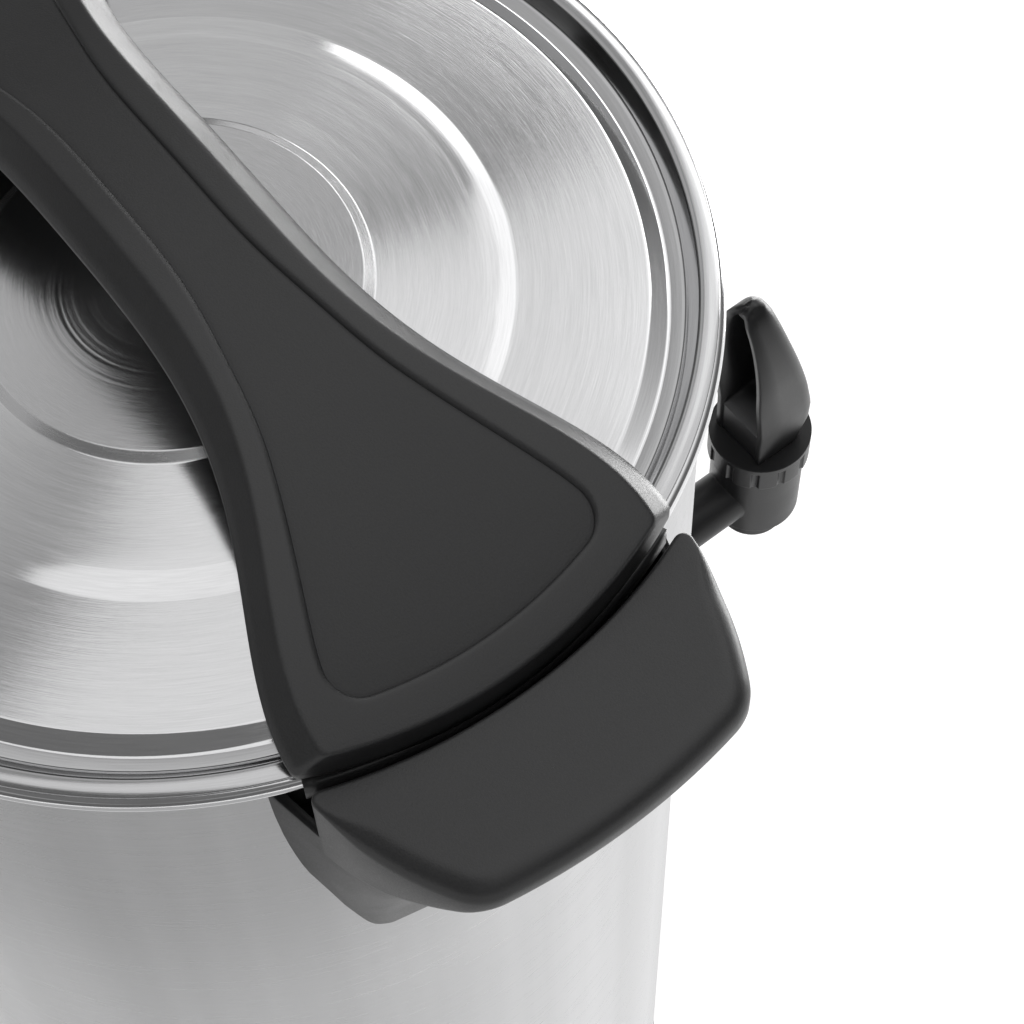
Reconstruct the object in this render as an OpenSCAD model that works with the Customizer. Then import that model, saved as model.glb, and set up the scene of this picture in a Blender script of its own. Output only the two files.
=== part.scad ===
// Hot water urn: a tall steel vessel on a black base ring, with a tap and a control panel at the front (-Y),
// a lift-off lid under a bow handle that runs from side to side, and two side handles (ears) at +X and -X.
// Millimetres. The origin is on the table under the vessel's axis, and +Z is up.

/* [Vessel] */
// Outer radius of the steel wall
wall_r = 116; // [110:1:124]
// Thickness of the steel wall
wall_t = 0.8; // [0.6:0.1:1.2]
// Height of the rim bead's centre above the table
rim_z = 530; // [510:1:560]
// Radius of the rolled rim bead
bead_r = 2.1; // [1.8:0.1:2.5]
// Height of the tank floor above the table
floor_z = 165; // [155:1:185]
// Thickness of the tank floor
floor_t = 1.2; // [0.8:0.1:2]

/* [Lid] */
// Thickness of the lid sheet
lid_t = 0.6; // [0.5:0.1:0.9]
// Height of the lid's centre above the bead's centre
lid_rise = 5.8; // [4.8:0.2:8]
// Radius of the small step round the lid's middle
dish_r = 43; // [36:1:52]
// Radius of the polished crease round the lid
crease_r = 72; // [64:1:76]
// Width of the polished crease
crease_w = 5.8; // [4:0.2:7]
// Width of the groove inside the lid's flange
groove_w = 10.7; // [9.5:0.1:13]
// Depth of that groove below the bead's centre
groove_depth = 1.7; // [1.2:0.1:2.4]

/* [Bow handle] */
// Rise of the bow from its ends to its crown
bow_arch = 33.5; // [28:0.5:40]
// Width of the bow at its waist
bow_waist = 39; // [34:1:46]
// Width of the bow at its ends
bow_end_w = 94; // [84:1:98]
// Height of the bow's sloping sides
bow_side = 8.6; // [7.6:0.2:11]
// How far the sides slope in
bow_bevel = 6; // [4:0.5:7]
// Width of the border round the inlay
bow_border = 7.2; // [5.5:0.1:8.5]
// Depth of the inlay's face below the border
inlay_depth = 1; // [0.6:0.1:1.6]
// Thickness of the inlay
inlay_t = 1.6; // [1.2:0.1:2.2]
// Corner radius of the inlay
inlay_corner = 8; // [5:0.5:9]
// Distance from the inlay's end to the bow's end
inlay_end = 7.2; // [6:0.2:12]
// Thickness of the bow's lower half along the arch
base_arch_t = 3; // [2:0.25:4]
// Distance of the bow's screws from the lid's axis
bow_screw_x = 90; // [86:1:94]
// Distance between the two screws of one foot
bow_screw_gap = 24; // [18:1:28]

/* [Side handles] */
// Gap between the rim bead and the ear
ear_gap = 5; // [4:0.25:8]
// Length of the ear's grip outward
ear_reach = 33; // [29:1:38]
// Width of the ear at its inner edge
ear_in_w = 95; // [90:1:98]
// Width of the ear at its outer corners
ear_out_w = 73; // [66:1:78]
// Radius of the ear's outer corners
ear_corner = 12; // [8:1:14]
// Height of the ear's top above the bead's centre
ear_top = 9; // [8:0.5:12]
// Height of the ear's outer edge
ear_edge = 8.5; // [7.5:0.5:11]
// Rounding of the ear's top edge
ear_round = 5; // [3:0.5:6]
// Depth of the grip's inner wall below its outer edge
ear_wedge = 19; // [16:1:22]
// Depth of the open channel behind the ear, below the bead's centre
channel_drop = 10; // [8:0.5:12]
// Height of the bracket on the vessel's wall
bracket_h = 74; // [66:1:82]
// Thickness of the bracket's pad on the wall
bracket_t = 5; // [4:0.5:7]

/* [Tap] */
// Height of the tap's shank above the table
tap_z = 246; // [236:1:262]
// Distance from the vessel's wall to the tap's barrel axis
tap_reach = 71; // [64:1:80]
// Radius of the tap's shank
shank_r = 9; // [8:0.25:10]
// Radius of the tap's water way
water_r = 5; // [4:0.25:6]
// Radius of the tap's barrel
barrel_r = 15; // [13.5:0.5:17]
// Radius of the spout
spout_r = 11; // [9.5:0.5:12]
// Distance from the shank down to the spout's mouth
spout_drop = 22; // [20:1:30]
// Radius of the spout's bore
spout_bore = 6; // [5:0.25:7]
// Radius of the valve stem
stem_r = 2.5; // [2:0.1:3]
// Radius of the lever's pivot pin
pin_r = 1.5; // [1.2:0.1:1.8]
// Height of the lever
lever_h = 80; // [72:1:88]
// Width of the lever
lever_w = 23; // [21:0.5:27]
// How far the lever's top leans towards the vessel
lever_lean = 7; // [4:0.5:9]
// Wall thickness of the lever
lever_t = 2.6; // [2:0.1:3.2]

/* [Base] */
// Height of the base ring's lip inside the wall, above the table
base_top = 34; // [33:0.5:40]
// How far the base ring stands out past the steel wall
base_over = 0.6; // [0.4:0.1:1.5]
// Wall thickness of the base ring
base_t = 2.6; // [2:0.1:3.2]
// Height of the rubber feet
foot_h = 10; // [8:0.5:14]
// Radius of the rubber feet
foot_r = 12; // [10:0.5:14]
// Distance of the feet from the axis
foot_circle = 98; // [92:1:100]
// Thickness of the base plate
plate_t = 2.5; // [1.5:0.25:3.5]

/* [Heating and controls] */
// Radius of the heater plate under the tank floor
heater_r = 86; // [70:1:96]
// Thickness of the heater plate
heater_t = 5; // [4:0.5:7]
// Radius of the heater tube
element_r = 4; // [3:0.25:4.5]
// Radius of the heater tube's ring
element_ring = 66; // [52:1:68]
// Height of the controls above the table
control_z = 84; // [80:1:100]
// Height of the control panel
panel_h = 62; // [56:1:70]
// Half angle of the control panel round the vessel
panel_turn = 29; // [28:0.5:36]
// Radius of the thermostat knob
knob_r = 19; // [16:0.5:20]
// Length of the thermostat knob
knob_h = 15; // [13:0.5:20]
// Radius of the thermostat shaft
shaft_r = 3; // [2.5:0.25:3.5]
// Angle from the knob round to the power switch
switch_turn = 22; // [20:0.5:22.5]
// Height of the power switch's frame
switch_h = 30; // [28:0.5:32]
// Width of the power switch's frame
switch_w = 22; // [20:0.5:24]
// Radius of the pilot lamps
lamp_r = 4.5; // [3.5:0.25:5]
// Bore radius of the cord gland
gland_bore = 4.1; // [3.5:0.1:4.6]
// Length of the cord gland
gland_len = 18; // [16:0.5:24]

/* [Hidden] */
$fn = 96;

// Clearances
touch = 0.05;       // between fixed pieces that seat on each other
run = 0.05;         // radial clearance of a shaft in its bore
free = 0.3;         // between a moving piece and what it rests on
eps = 0.01;         // overlap that keeps a cut clean
reach = 400;        // longer than any cut needs
room = 0.5;         // free depth past a screw's tip, and round its head

// Vessel
wall_in = wall_r - wall_t;
bead_lap = 0.2;
bead_c = wall_r + bead_r - bead_lap;
bead_out = bead_c + bead_r;
base_r = wall_r + base_over;
base_in = base_r - base_t;
ledge_z = base_top - 8;
ledge_t = 3;
ledge_in = wall_in - 25;
ledge_fit = 0.4;
wall_z = ledge_z + touch;
floor_lip = 12;
seam_z = floor_z - floor_lip;

// Lid, with heights above the bead's centre
seat_z = bead_r + free;
flange_z = seat_z + lid_t;
lid_fit = 0.7;
lid_wall = wall_in - lid_fit;
shoulder_r = lid_wall - groove_w;
valley_r = lid_wall - 3.2;
slope_w = 3.5;
dish_step = 0.7;
dish_slope = 1.2;
dish_fall = 0.4;
valley_lift = 0.3;
flange_lap = 0.6;
crease_drop = 0.9;
crease_z = lid_rise * 0.5;

// Height of the lid's top face between the crease and the groove's shoulder
function lid_face(r) =
    let (z1 = crease_z - crease_drop, r1 = crease_r + crease_w / 2)
    z1 * (shoulder_r - r) / (shoulder_r - r1);

// Bow handle
bow_over = 2;
lip_fit = 0.4;
lip_drop = 2;
lip_lap = 1;
bow_r = bead_out + bow_over;
bow_end_z = flange_z + 0.4 + bow_side;
bow_top_z = bow_end_z + bow_arch;
arch_r = (bow_r * bow_r + bow_arch * bow_arch) / (2 * bow_arch);
arch_c = bow_top_z - arch_r;
flare_power = 1.85;
inlay_r = bow_r - inlay_end;
inlay_inset = bow_bevel + bow_border;
bow_steps = 36;
bow_cols = 12;
foot_in = crease_r + crease_w / 2 + 3;
foot_out = shoulder_r;
foot_side = 9;
foot_w = bow_screw_gap + 2 * foot_side;
bow_screw_r = 2;
bow_screw_head = 4;
bow_washer_r = 5.5;
bow_washer_t = 0.8;
bow_head_h = 2.4;
bow_skin_t = 2.5;

// Height of the bow's top face above the bead's centre, at a distance from the lid's axis
function arch_z(x) = arch_c + sqrt(arch_r * arch_r - x * x);
function ease(x) = (1 - cos(180 * pow(min(x, 1), flare_power))) / 2;
// Half width of the bow's lower edge at a share t of its length
function bow_half(t) = bow_waist / 2 + (bow_end_w - bow_waist) / 2 * ease(abs(t));
// Length from the lid's axis to an end arc of radius r, at a distance y from the bow's middle line
function end_x(r, y) = sqrt(r * r - y * y);

// Side handles, with heights above the bead's centre
ear_in = bead_out + ear_gap;
ear_out = ear_in + ear_reach;
ear_low = ear_top - ear_edge;
ear_inner_low = ear_low - ear_wedge;
bracket_in = wall_r + touch;
bracket_low = -channel_drop - bracket_h;
ear_side_turn = 31;
ear_mid = ear_in + ear_reach / 2;
ear_mid_low = ear_inner_low + ear_wedge * 0.32;
gusset_out = ear_out - 12;
gusset_lip = 2;
gusset_foot = 24;
gusset_inset = 1;
ear_screw_r = 2.5;
ear_screw_head = 5;
ear_screw_z = -channel_drop - 22;
ear_screw_turn = 9;
ear_screw_in = 9;
ear_washer_r = 7;
ear_washer_t = 1.5;
grip_screw_r = 2;
grip_screw_head = 3.8;
grip_screw_x = ear_in + 6;
grip_screw_seat = ear_inner_low - 8;
grip_screw_top = ear_top - 5;
grip_head_h = 2.6;
ear_head_h = 3;
ear_sweep = 40;

// Tap, in a frame whose +X points out from the vessel
barrel_x = wall_r + tap_reach;
spout_low = tap_z - spout_drop;
chamber_r = barrel_r - 5;
chamber_z = tap_z - water_r - 3;
barrel_top = tap_z + 19;
barrel_floor = 4;
bonnet_lap = 8;
bonnet_r = barrel_r + 1.5;
bonnet_h = 11;
bonnet_top = barrel_top + bonnet_h;
notch_r = 1.5;
notch_out = 0.6;
notch_top = 2;
notches = 12;
seat_h = 4;
seat_low = chamber_z + free;
seat_r = chamber_r - 1.5;
spring_low = seat_low + seat_h + free;
spring_top = barrel_top - bonnet_lap - touch;
spring_in = stem_r + 1;
spring_out = stem_r + 3;
stem_in = 1;
pin_up = 9.5;
pin_z = bonnet_top + free + pin_up;
stem_top = pin_z + stem_r + 2.5;
lever_low = bonnet_top + free;
lever_foot = pin_up;
lever_front = 13;
lever_belly = 16;
lever_head = 5;
lever_slot = stem_r * 2 + 2;
pin_inset = 1;
pin_len = lever_w - 2 * pin_inset;
saddle_t = 6;
saddle_r = shank_r + 7;
saddle_in = 6;
collar_t = 4;
nut_r = shank_r + 7;
nut_t = 7;
inner_washer_t = 4;
inner_washer_x = end_x(wall_in, nut_r) - touch;
shank_in = inner_washer_x - inner_washer_t - nut_t - 4;

// Base
base_low = foot_h;
plate_top = base_low + plate_t;
boss_r = 6;
boss_hole = ledge_z - ledge_t - plate_top - 1;
foot_screw_r = 2;
foot_screw_head = 4;
feet_count = 4;
feet_turn = 45;
vent_w = 4;
vent_len = 34;
vent_count = 4;
vent_in = 24;
foot_recess = 5;
foot_head_h = 2.4;

// Heating and controls
heater_top = floor_z - touch;
heater_low = heater_top - heater_t;
element_z = heater_low - element_r - touch;
cutout_r = 9;
cutout_h = 9;
panel_r = wall_r + 3.5;
panel_edge = 1.5;
panel_x = panel_r + panel_edge;
knob_boss_r = knob_r + 3;
knob_in = panel_x + 0.8;
knob_wall = 3;
knob_skirt = 4;
knob_draft = 1.5;
knob_step = 3.5;
knob_bar = 7;
knob_bar_in = 6;
mark_w = 1.6;
mark_depth = 0.8;
mark_low = 10;
thermo_size = 32;
thermo_depth = 26;
thermo_h = 30;
thermo_x = end_x(wall_in, thermo_size / 2);
thermo_bore = 16;
shaft_gap = 1;
boss_edge = 1;
switch_x = panel_r + boss_edge;
switch_flange = 2;
switch_open = 10;
rocker_r = switch_h / 2 - 4.5;
rocker_w = switch_w - 9;
rocker_tilt = 10;
rocker_face = 3.2;
switch_depth = 20;
lamp_turns = [-15.5, -22.5];
lamp_boss_r = lamp_r + 2;
lamp_in = 6;
lamp_cap = 1.2;
gland_flange_r = gland_bore + 6.5;
gland_body_r = gland_bore + 3.4;
gland_z = control_z;
gland_x = wall_r + 4;
gland_nut_t = 5;
skin_in = 5;

steel = [0.78, 0.78, 0.79];
bright = [0.86, 0.86, 0.87];
black = [0.15, 0.15, 0.16];
dark = [0.1, 0.1, 0.1];
silicone = [0.75, 0.75, 0.72];
zinc = [0.7, 0.7, 0.72];

// Helpers
module at_rim() translate([0, 0, rim_z]) children();
module at_front() rotate([0, 0, -90]) children();
module rod_x(r, x0, x1) translate([x0, 0, 0]) rotate([0, 90, 0]) cylinder(r = r, h = x1 - x0);
module rod_z(r, z0, z1) translate([0, 0, z0]) cylinder(r = r, h = z1 - z0);
module block(x0, x1, w, z0, z1) translate([x0, -w / 2, z0]) cube([x1 - x0, w, z1 - z0]);

// Vessel
module tank_wall() color(steel) difference() {
    rotate_extrude() {
        translate([wall_in, seam_z]) square([wall_t, rim_z + wall_t / 2 - seam_z]);
        translate([wall_in, rim_z - wall_t / 2]) square([bead_c - wall_in, wall_t]);
        translate([bead_c, rim_z]) circle(r = bead_r);
    }
    at_front() translate([0, 0, tap_z]) rod_x(shank_r + run * 4, 0, wall_r + 1);
    for (side = [0, 180], turn = [-1, 1])
        rotate([0, 0, side + turn * ear_screw_turn])
            translate([0, 0, rim_z + ear_screw_z]) rod_x(ear_screw_r + run * 2, 0, wall_r + 1);
}

// Skirt under the tank, which carries it down to the base ring and holds the controls
module skirt_wall() color(steel) difference() {
    rotate_extrude() translate([wall_in, wall_z]) square([wall_t, seam_z - touch - wall_z]);
    control_holes();
    rotate([0, 0, 90]) translate([0, 0, gland_z]) rod_x(gland_body_r + touch, 0, reach);
}

module tank_floor() color(steel) rotate_extrude() {
    translate([0, floor_z]) square([wall_in - touch, floor_t]);
    translate([wall_in - touch - floor_t, floor_z - floor_lip]) square([floor_t, floor_lip + eps]);
}

// Lid
// Top face of the lid from its centre to its flange, and the underside back to the centre
lid_top = [
    [0, lid_rise],
    [dish_r - dish_slope, lid_rise - dish_fall],
    [dish_r, lid_rise - dish_fall - dish_step],
    [crease_r - crease_w / 2, crease_z],
    [crease_r + crease_w / 2, crease_z - crease_drop],
    [shoulder_r, 0],
    [shoulder_r + slope_w, -groove_depth],
    [valley_r, -groove_depth + valley_lift],
    [lid_wall - lid_t, flange_z],
    [bead_c + flange_lap, flange_z]
];
lid_under = [
    [bead_c + flange_lap, flange_z - lid_t],
    [lid_wall - lid_t / 3, flange_z - lid_t],
    [valley_r + lid_t / 2, -groove_depth + valley_lift - lid_t],
    [shoulder_r + slope_w - lid_t / 6, -groove_depth - lid_t],
    [shoulder_r - lid_t / 3, -lid_t],
    [crease_r + crease_w / 2, crease_z - crease_drop - lid_t],
    [crease_r - crease_w / 2, crease_z - lid_t],
    [dish_r, lid_rise - dish_fall - dish_step - lid_t],
    [dish_r - dish_slope, lid_rise - dish_fall - lid_t],
    [0, lid_rise - lid_t]
];

// Places one child at each of the four bow screws
module at_bow_screws() for (x = [-1, 1], y = [-1, 1])
    translate([x * bow_screw_x, y * bow_screw_gap / 2, 0]) children();

bow_screw_seat = lid_face(norm([bow_screw_x, bow_screw_gap / 2]) + bow_washer_r) - lid_t - touch;

module lid_shell() color(bright) at_rim() difference() {
    rotate_extrude() polygon(concat(lid_top, lid_under));
    at_bow_screws() rod_z(bow_screw_r + run * 4, -groove_w, groove_w);
}

gasket_h = 3;
gasket_w = 2.6;
module lid_gasket() color(silicone) at_rim() rotate_extrude()
    translate([wall_in - free - gasket_w, -groove_depth - lid_t - free - gasket_h])
        square([gasket_w, gasket_h]);

// One point of the bow's skin: share t of the length, share u of the width, on the upper or the lower edge
function bow_point(t, u, upper) =
    let (
        inset = upper ? bow_bevel : 0,
        y = u * (bow_half(t) - inset),
        x = t * end_x(bow_r, u * (bow_end_w / 2 - inset))
    )
    [x, y, arch_z(x) - (upper ? 0 : bow_side)];

// The lofted arch of the bow: a ring of points at each station, joined to the next ring
module bow_loft() {
    ring = 2 * (bow_cols + 1);
    points = [
        for (i = [0 : bow_steps], j = [0 : ring - 1])
            let (upper = j <= bow_cols, k = upper ? j : ring - 1 - j)
            bow_point(2 * i / bow_steps - 1, 2 * k / bow_cols - 1, upper)
    ];
    skin = [
        for (i = [0 : bow_steps - 1], j = [0 : ring - 1])
            let (a = i * ring + j, b = i * ring + (j + 1) % ring)
            each [[a, b, b + ring], [a, b + ring, a + ring]]
    ];
    ends = [
        for (j = [0 : bow_cols - 1], last = [0, bow_steps * ring])
            let (a = last + j, b = last + j + 1, c = last + ring - 2 - j, d = last + ring - 1 - j)
            each last == 0 ? [[b, a, d], [b, d, c]] : [[a, b, c], [a, c, d]]
    ];
    polyhedron(points = points, faces = concat(skin, ends), convexity = 6);
}

// Outline of the inlay, drawn in by a clearance
function inlay_half(x) = bow_half(x / end_x(bow_r, bow_end_w / 2)) - inlay_inset;
inlay_x = end_x(inlay_r, inlay_half(inlay_r - inlay_end) - inlay_corner) - inlay_corner;
module inlay_outline(gap) {
    side_steps = 16;
    corner_steps = 6;
    end_steps = 6;
    corner_y = inlay_half(inlay_x) - inlay_corner;
    tip_x = end_x(inlay_r, corner_y);
    quarter = concat(
        [for (i = [0 : side_steps - 1]) let (x = inlay_x * i / side_steps) [x, inlay_half(x) - gap]],
        [for (i = [0 : corner_steps - 1]) let (a = 90 * i / corner_steps)
            [tip_x - inlay_corner + (inlay_corner - gap) * sin(a), corner_y + (inlay_corner - gap) * cos(a)]],
        [for (i = [0 : end_steps]) let (y = corner_y * (1 - i / end_steps)) [end_x(inlay_r, y) - gap, y]]
    );
    count = len(quarter);
    half = concat(quarter, [for (i = [count - 2 : -1 : 0]) [quarter[i][0], -quarter[i][1]]]);
    polygon(concat(half, [for (p = [for (i = [len(half) - 2 : -1 : 1]) half[i]]) [-p[0], p[1]]]));
}

// A roller across the bow that follows its arch at a depth below its top face
module arch_roller(depth) translate([0, reach / 2, arch_c]) rotate([90, 0, 0])
    cylinder(r = arch_r - depth, h = reach, $fn = 360);

bow_screw_top = arch_z(bow_screw_x) - inlay_depth - inlay_t - bow_skin_t;
// Lips at the bow's ends, which hang down outside the rim bead
lip_turn = asin(bow_end_w / 2 / bow_r);
module bow_lips() for (side = [0, 180]) rotate([0, 0, side - lip_turn]) rotate_extrude(angle = 2 * lip_turn)
    translate([bead_out + lip_fit, -lip_drop])
        square([bow_r - lip_lap / 10 - bead_out - lip_fit, bow_end_z - bow_side + lip_lap + lip_drop]);

module bow_handle() color(black) at_rim() difference() {
    union() {
        bow_loft();
        bow_lips();
    }
    difference() {
        linear_extrude(height = bow_top_z + 1) inlay_outline(0);
        arch_roller(inlay_depth + inlay_t);
    }
    at_bow_screws() rod_z(bow_screw_r + run, 0, bow_screw_top + room);
}

inlay_fit = 0.2;
module bow_inlay() color(black) at_rim() difference() {
    intersection() {
        linear_extrude(height = bow_top_z + 1) inlay_outline(inlay_fit);
        arch_roller(inlay_depth);
    }
    arch_roller(inlay_depth + inlay_t - touch);
}

// Lower half of the bow: a thin arch under the grip and two feet on the lid
base_inset = 5;
module bow_base() color(black) at_rim() difference() {
    intersection() {
        union() {
            difference() {
                linear_extrude(height = bow_top_z)
                    square([2 * foot_out, bow_waist - 2 * base_inset], center = true);
                arch_roller(bow_side + base_arch_t);
            }
            intersection() {
                block(-foot_out, foot_out, foot_w, 0, bow_top_z);
                difference() {
                    rod_z(foot_out, 0, bow_top_z);
                    rod_z(foot_in, -1, bow_top_z + 1);
                }
            }
        }
        arch_roller(bow_side + touch);
    }
    translate([0, 0, touch]) rotate_extrude()
        polygon(concat(lid_top, [[bead_c + flange_lap, -reach], [0, -reach]]));
    at_bow_screws() rod_z(bow_screw_r + run, -groove_w, bow_top_z);
}

module bow_washers() color(zinc) at_rim() at_bow_screws() difference() {
    rod_z(bow_washer_r, bow_screw_seat - bow_washer_t, bow_screw_seat);
    rod_z(bow_screw_r + run, bow_screw_seat - bow_washer_t - 1, bow_screw_seat + 1);
}

module bow_screws() color(zinc) at_rim() at_bow_screws() {
    head_z = bow_screw_seat - bow_washer_t - touch;
    rod_z(bow_screw_head, head_z - bow_head_h, head_z);
    rod_z(bow_screw_r, head_z - eps, bow_screw_top);
}

// Side handles
// Centre of the grip's round outer corner, which runs into its outer arc
corner_y = ear_out_w / 2 - ear_corner * cos(ear_side_turn);
corner_x = end_x(ear_out - ear_corner, corner_y);
corner_end = 90 - atan2(corner_y, corner_x);
// Side of the grip: one arc from its inner tip to the round corner
tip_y = ear_in_w / 2;
tip_x = end_x(ear_in, tip_y);
side_end_x = corner_x + ear_corner * sin(ear_side_turn);
side_end_y = corner_y + ear_corner * cos(ear_side_turn);
side_chord = norm([side_end_x - tip_x, side_end_y - tip_y]);
side_bend = ear_side_turn - atan2(tip_y - side_end_y, side_end_x - tip_x);
side_r = side_chord / (2 * sin(side_bend));
side_x = side_end_x - side_r * sin(ear_side_turn);
side_y = side_end_y - side_r * cos(ear_side_turn);
side_start = ear_side_turn - 2 * side_bend - 14;

// Plan of the grip: bowed sides and round outer corners, drawn in by a clearance
ear_steps = 8;
function ear_half(gap) = concat(
    [for (i = [0 : ear_steps]) let (a = side_start + (ear_side_turn - side_start) * i / ear_steps)
        [side_x + (side_r - gap) * sin(a), side_y + (side_r - gap) * cos(a)]],
    [for (i = [1 : ear_steps]) let (a = ear_side_turn + (corner_end - ear_side_turn) * i / ear_steps)
        [corner_x + (ear_corner - gap) * sin(a), corner_y + (ear_corner - gap) * cos(a)]],
    [for (i = [1 : ear_steps / 2]) let (a = (90 - corner_end) * (1 - 2 * i / ear_steps))
        [(ear_out - gap) * cos(a), (ear_out - gap) * sin(a)]]
);
function ear_plan(gap) =
    let (half = ear_half(gap))
    concat(half, [for (i = [len(half) - 2 : -1 : 0]) [half[i][0], -half[i][1]]]);

// Section of the grip from its inner wall outward, with its sloping underside
module ear_section() polygon([
    [ear_in, ear_top + 1],
    [ear_out + 1, ear_top + 1],
    [ear_out + 1, ear_low],
    [ear_out, ear_low],
    [ear_mid, ear_mid_low],
    [ear_in, ear_inner_low]
]);

// The grip's outer skin: rings of its plan, drawn in step by step where the top edge rolls over
roll_steps = 6;
module ear_skin() {
    ring = len(ear_plan(0));
    points = concat(
        [for (p = ear_plan(0)) [p[0], p[1], ear_inner_low - 1]],
        [for (k = [0 : roll_steps], p = ear_plan(ear_round * (1 - cos(90 * k / roll_steps))))
            [p[0], p[1], ear_top - ear_round + ear_round * sin(90 * k / roll_steps)]]
    );
    skin = [
        for (k = [0 : roll_steps], j = [0 : ring - 1])
            let (a = k * ring + j, b = k * ring + (j + 1) % ring)
            each [[a, b, b + ring], [a, b + ring, a + ring]]
    ];
    low = [for (j = [ring - 1 : -1 : 0]) j];
    top = [for (j = [0 : ring - 1]) (roll_steps + 1) * ring + j];
    polyhedron(points = points, faces = concat(skin, [low, top]), convexity = 4);
}

module ear_grip() color(black) at_rim() difference() {
    intersection() {
        rotate([0, 0, -ear_sweep]) rotate_extrude(angle = 2 * ear_sweep) ear_section();
        ear_skin();
    }
    translate([grip_screw_x, 0, 0]) rod_z(grip_screw_r + run, grip_screw_seat, grip_screw_top + room);
}
module ear_grip_right() ear_grip();
module ear_grip_left() rotate([0, 0, 180]) ear_grip();

// Height of the grip's underside at a distance from the vessel's axis
function grip_under(x) =
    lookup(x, [[ear_in, ear_inner_low], [ear_mid, ear_mid_low], [ear_out, ear_low]]) - touch;

// Section of the bracket's pad on the wall
module pad_section() polygon([
    [bracket_in, -channel_drop],
    [bracket_in + bracket_t, -channel_drop],
    [bracket_in + bracket_t, bracket_low + bracket_t],
    [bracket_in + bracket_t * 0.7, bracket_low],
    [bracket_in, bracket_low]
]);

// Section of the bracket's gusset: the channel's floor, the seat under the grip and a slope back to the pad
module gusset_section() polygon([
    [bracket_in, -channel_drop],
    [ear_in - touch, -channel_drop],
    [ear_in - touch, grip_under(ear_in)],
    [ear_mid, grip_under(ear_mid)],
    [gusset_out, grip_under(gusset_out)],
    [gusset_out, grip_under(gusset_out) - gusset_lip],
    [bracket_in + bracket_t - eps, bracket_low + gusset_foot],
    [bracket_in, bracket_low + gusset_foot]
]);

// Shield outline of the bracket, seen from the side
bracket_half = ear_in_w / 2 + 1;
shield_w = 29;
shield_h = 46;
module bracket_shield() {
    steps = 12;
    half = concat(
        [[bracket_half, 0]],
        [for (i = [0 : steps]) let (a = 90 * i / steps)
            [bracket_half - shield_w + shield_w * cos(a), bracket_low + shield_h - shield_h * sin(a)]]
    );
    polygon(concat(half, [for (i = [len(half) - 1 : -1 : 0]) [-half[i][0], half[i][1]]]));
}

module ear_bracket() color(black) at_rim() difference() {
    intersection() {
        union() {
            rotate([0, 0, -ear_sweep]) rotate_extrude(angle = 2 * ear_sweep) pad_section();
            intersection() {
                rotate([0, 0, -ear_sweep]) rotate_extrude(angle = 2 * ear_sweep) gusset_section();
                translate([0, 0, -reach / 2]) linear_extrude(height = reach) polygon(ear_plan(gusset_inset));
            }
        }
        rotate([90, 0, 90]) linear_extrude(height = reach) bracket_shield();
    }
    for (turn = [-1, 1]) rotate([0, 0, turn * ear_screw_turn])
        translate([0, 0, ear_screw_z]) rod_x(ear_screw_r + run, 0, wall_r + ear_screw_in + room);
    translate([grip_screw_x, 0, 0]) {
        rod_z(grip_screw_r + run, -reach / 2, 0);
        rod_z(grip_screw_head + free, -reach / 2, grip_screw_seat);
    }
}
module ear_bracket_right() ear_bracket();
module ear_bracket_left() rotate([0, 0, 180]) ear_bracket();

// Places one child at each of the four ear screws, with +X along the screw
module at_ear_screws() for (side = [0, 180], turn = [-1, 1])
    rotate([0, 0, side + turn * ear_screw_turn]) translate([0, 0, rim_z + ear_screw_z]) children();

ear_washer_x = end_x(wall_in, ear_washer_r) - touch;
module ear_washers() color(silicone) at_ear_screws() difference() {
    rod_x(ear_washer_r, ear_washer_x - ear_washer_t, ear_washer_x);
    rod_x(ear_screw_r + run, ear_washer_x - ear_washer_t - 1, ear_washer_x + 1);
}

module ear_screws() color(zinc) at_ear_screws() {
    head_x = ear_washer_x - ear_washer_t - touch;
    rod_x(ear_screw_head, head_x - ear_head_h, head_x);
    rod_x(ear_screw_r, head_x - eps, wall_r + ear_screw_in);
}

module grip_screws() color(zinc) at_rim() for (side = [0, 180]) rotate([0, 0, side])
    translate([grip_screw_x, 0, 0]) {
        rod_z(grip_screw_head, grip_screw_seat - touch - grip_head_h, grip_screw_seat - touch);
        rod_z(grip_screw_r, grip_screw_seat - touch - eps, grip_screw_top);
    }

// Tap
module tap_body() color(dark) at_front() difference() {
    union() {
        translate([0, 0, tap_z]) {
            rod_x(shank_r, shank_in, barrel_x);
            rod_x(saddle_r - 1, wall_r + saddle_t + touch, wall_r + saddle_t + touch + collar_t);
        }
        translate([barrel_x, 0, 0]) {
            rod_z(barrel_r, chamber_z - barrel_floor, barrel_top);
            rod_z(spout_r, spout_low, chamber_z);
        }
    }
    translate([0, 0, tap_z]) rod_x(water_r, shank_in - 1, barrel_x);
    translate([barrel_x, 0, 0]) {
        rod_z(chamber_r, chamber_z, barrel_top + 1);
        rod_z(spout_bore, spout_low - 1, chamber_z + 1);
    }
}

module tap_saddle() color(dark) at_front() difference() {
    translate([0, 0, tap_z]) rod_x(saddle_r, wall_r - saddle_in, wall_r + saddle_t);
    rod_z(wall_r + touch, 0, rim_z);
    translate([0, 0, tap_z]) rod_x(shank_r + run, 0, barrel_x);
}

module tap_inner_washer() color(silicone) at_front() translate([0, 0, tap_z]) difference() {
    rod_x(nut_r, inner_washer_x - inner_washer_t, inner_washer_x);
    rod_x(shank_r + run, 0, barrel_x);
}

module tap_nut() color(zinc) at_front() translate([0, 0, tap_z]) difference() {
    translate([inner_washer_x - inner_washer_t - touch - nut_t, 0, 0]) rotate([0, 90, 0])
        cylinder(r = nut_r, h = nut_t, $fn = 6);
    rod_x(shank_r + run, 0, barrel_x);
}

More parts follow.
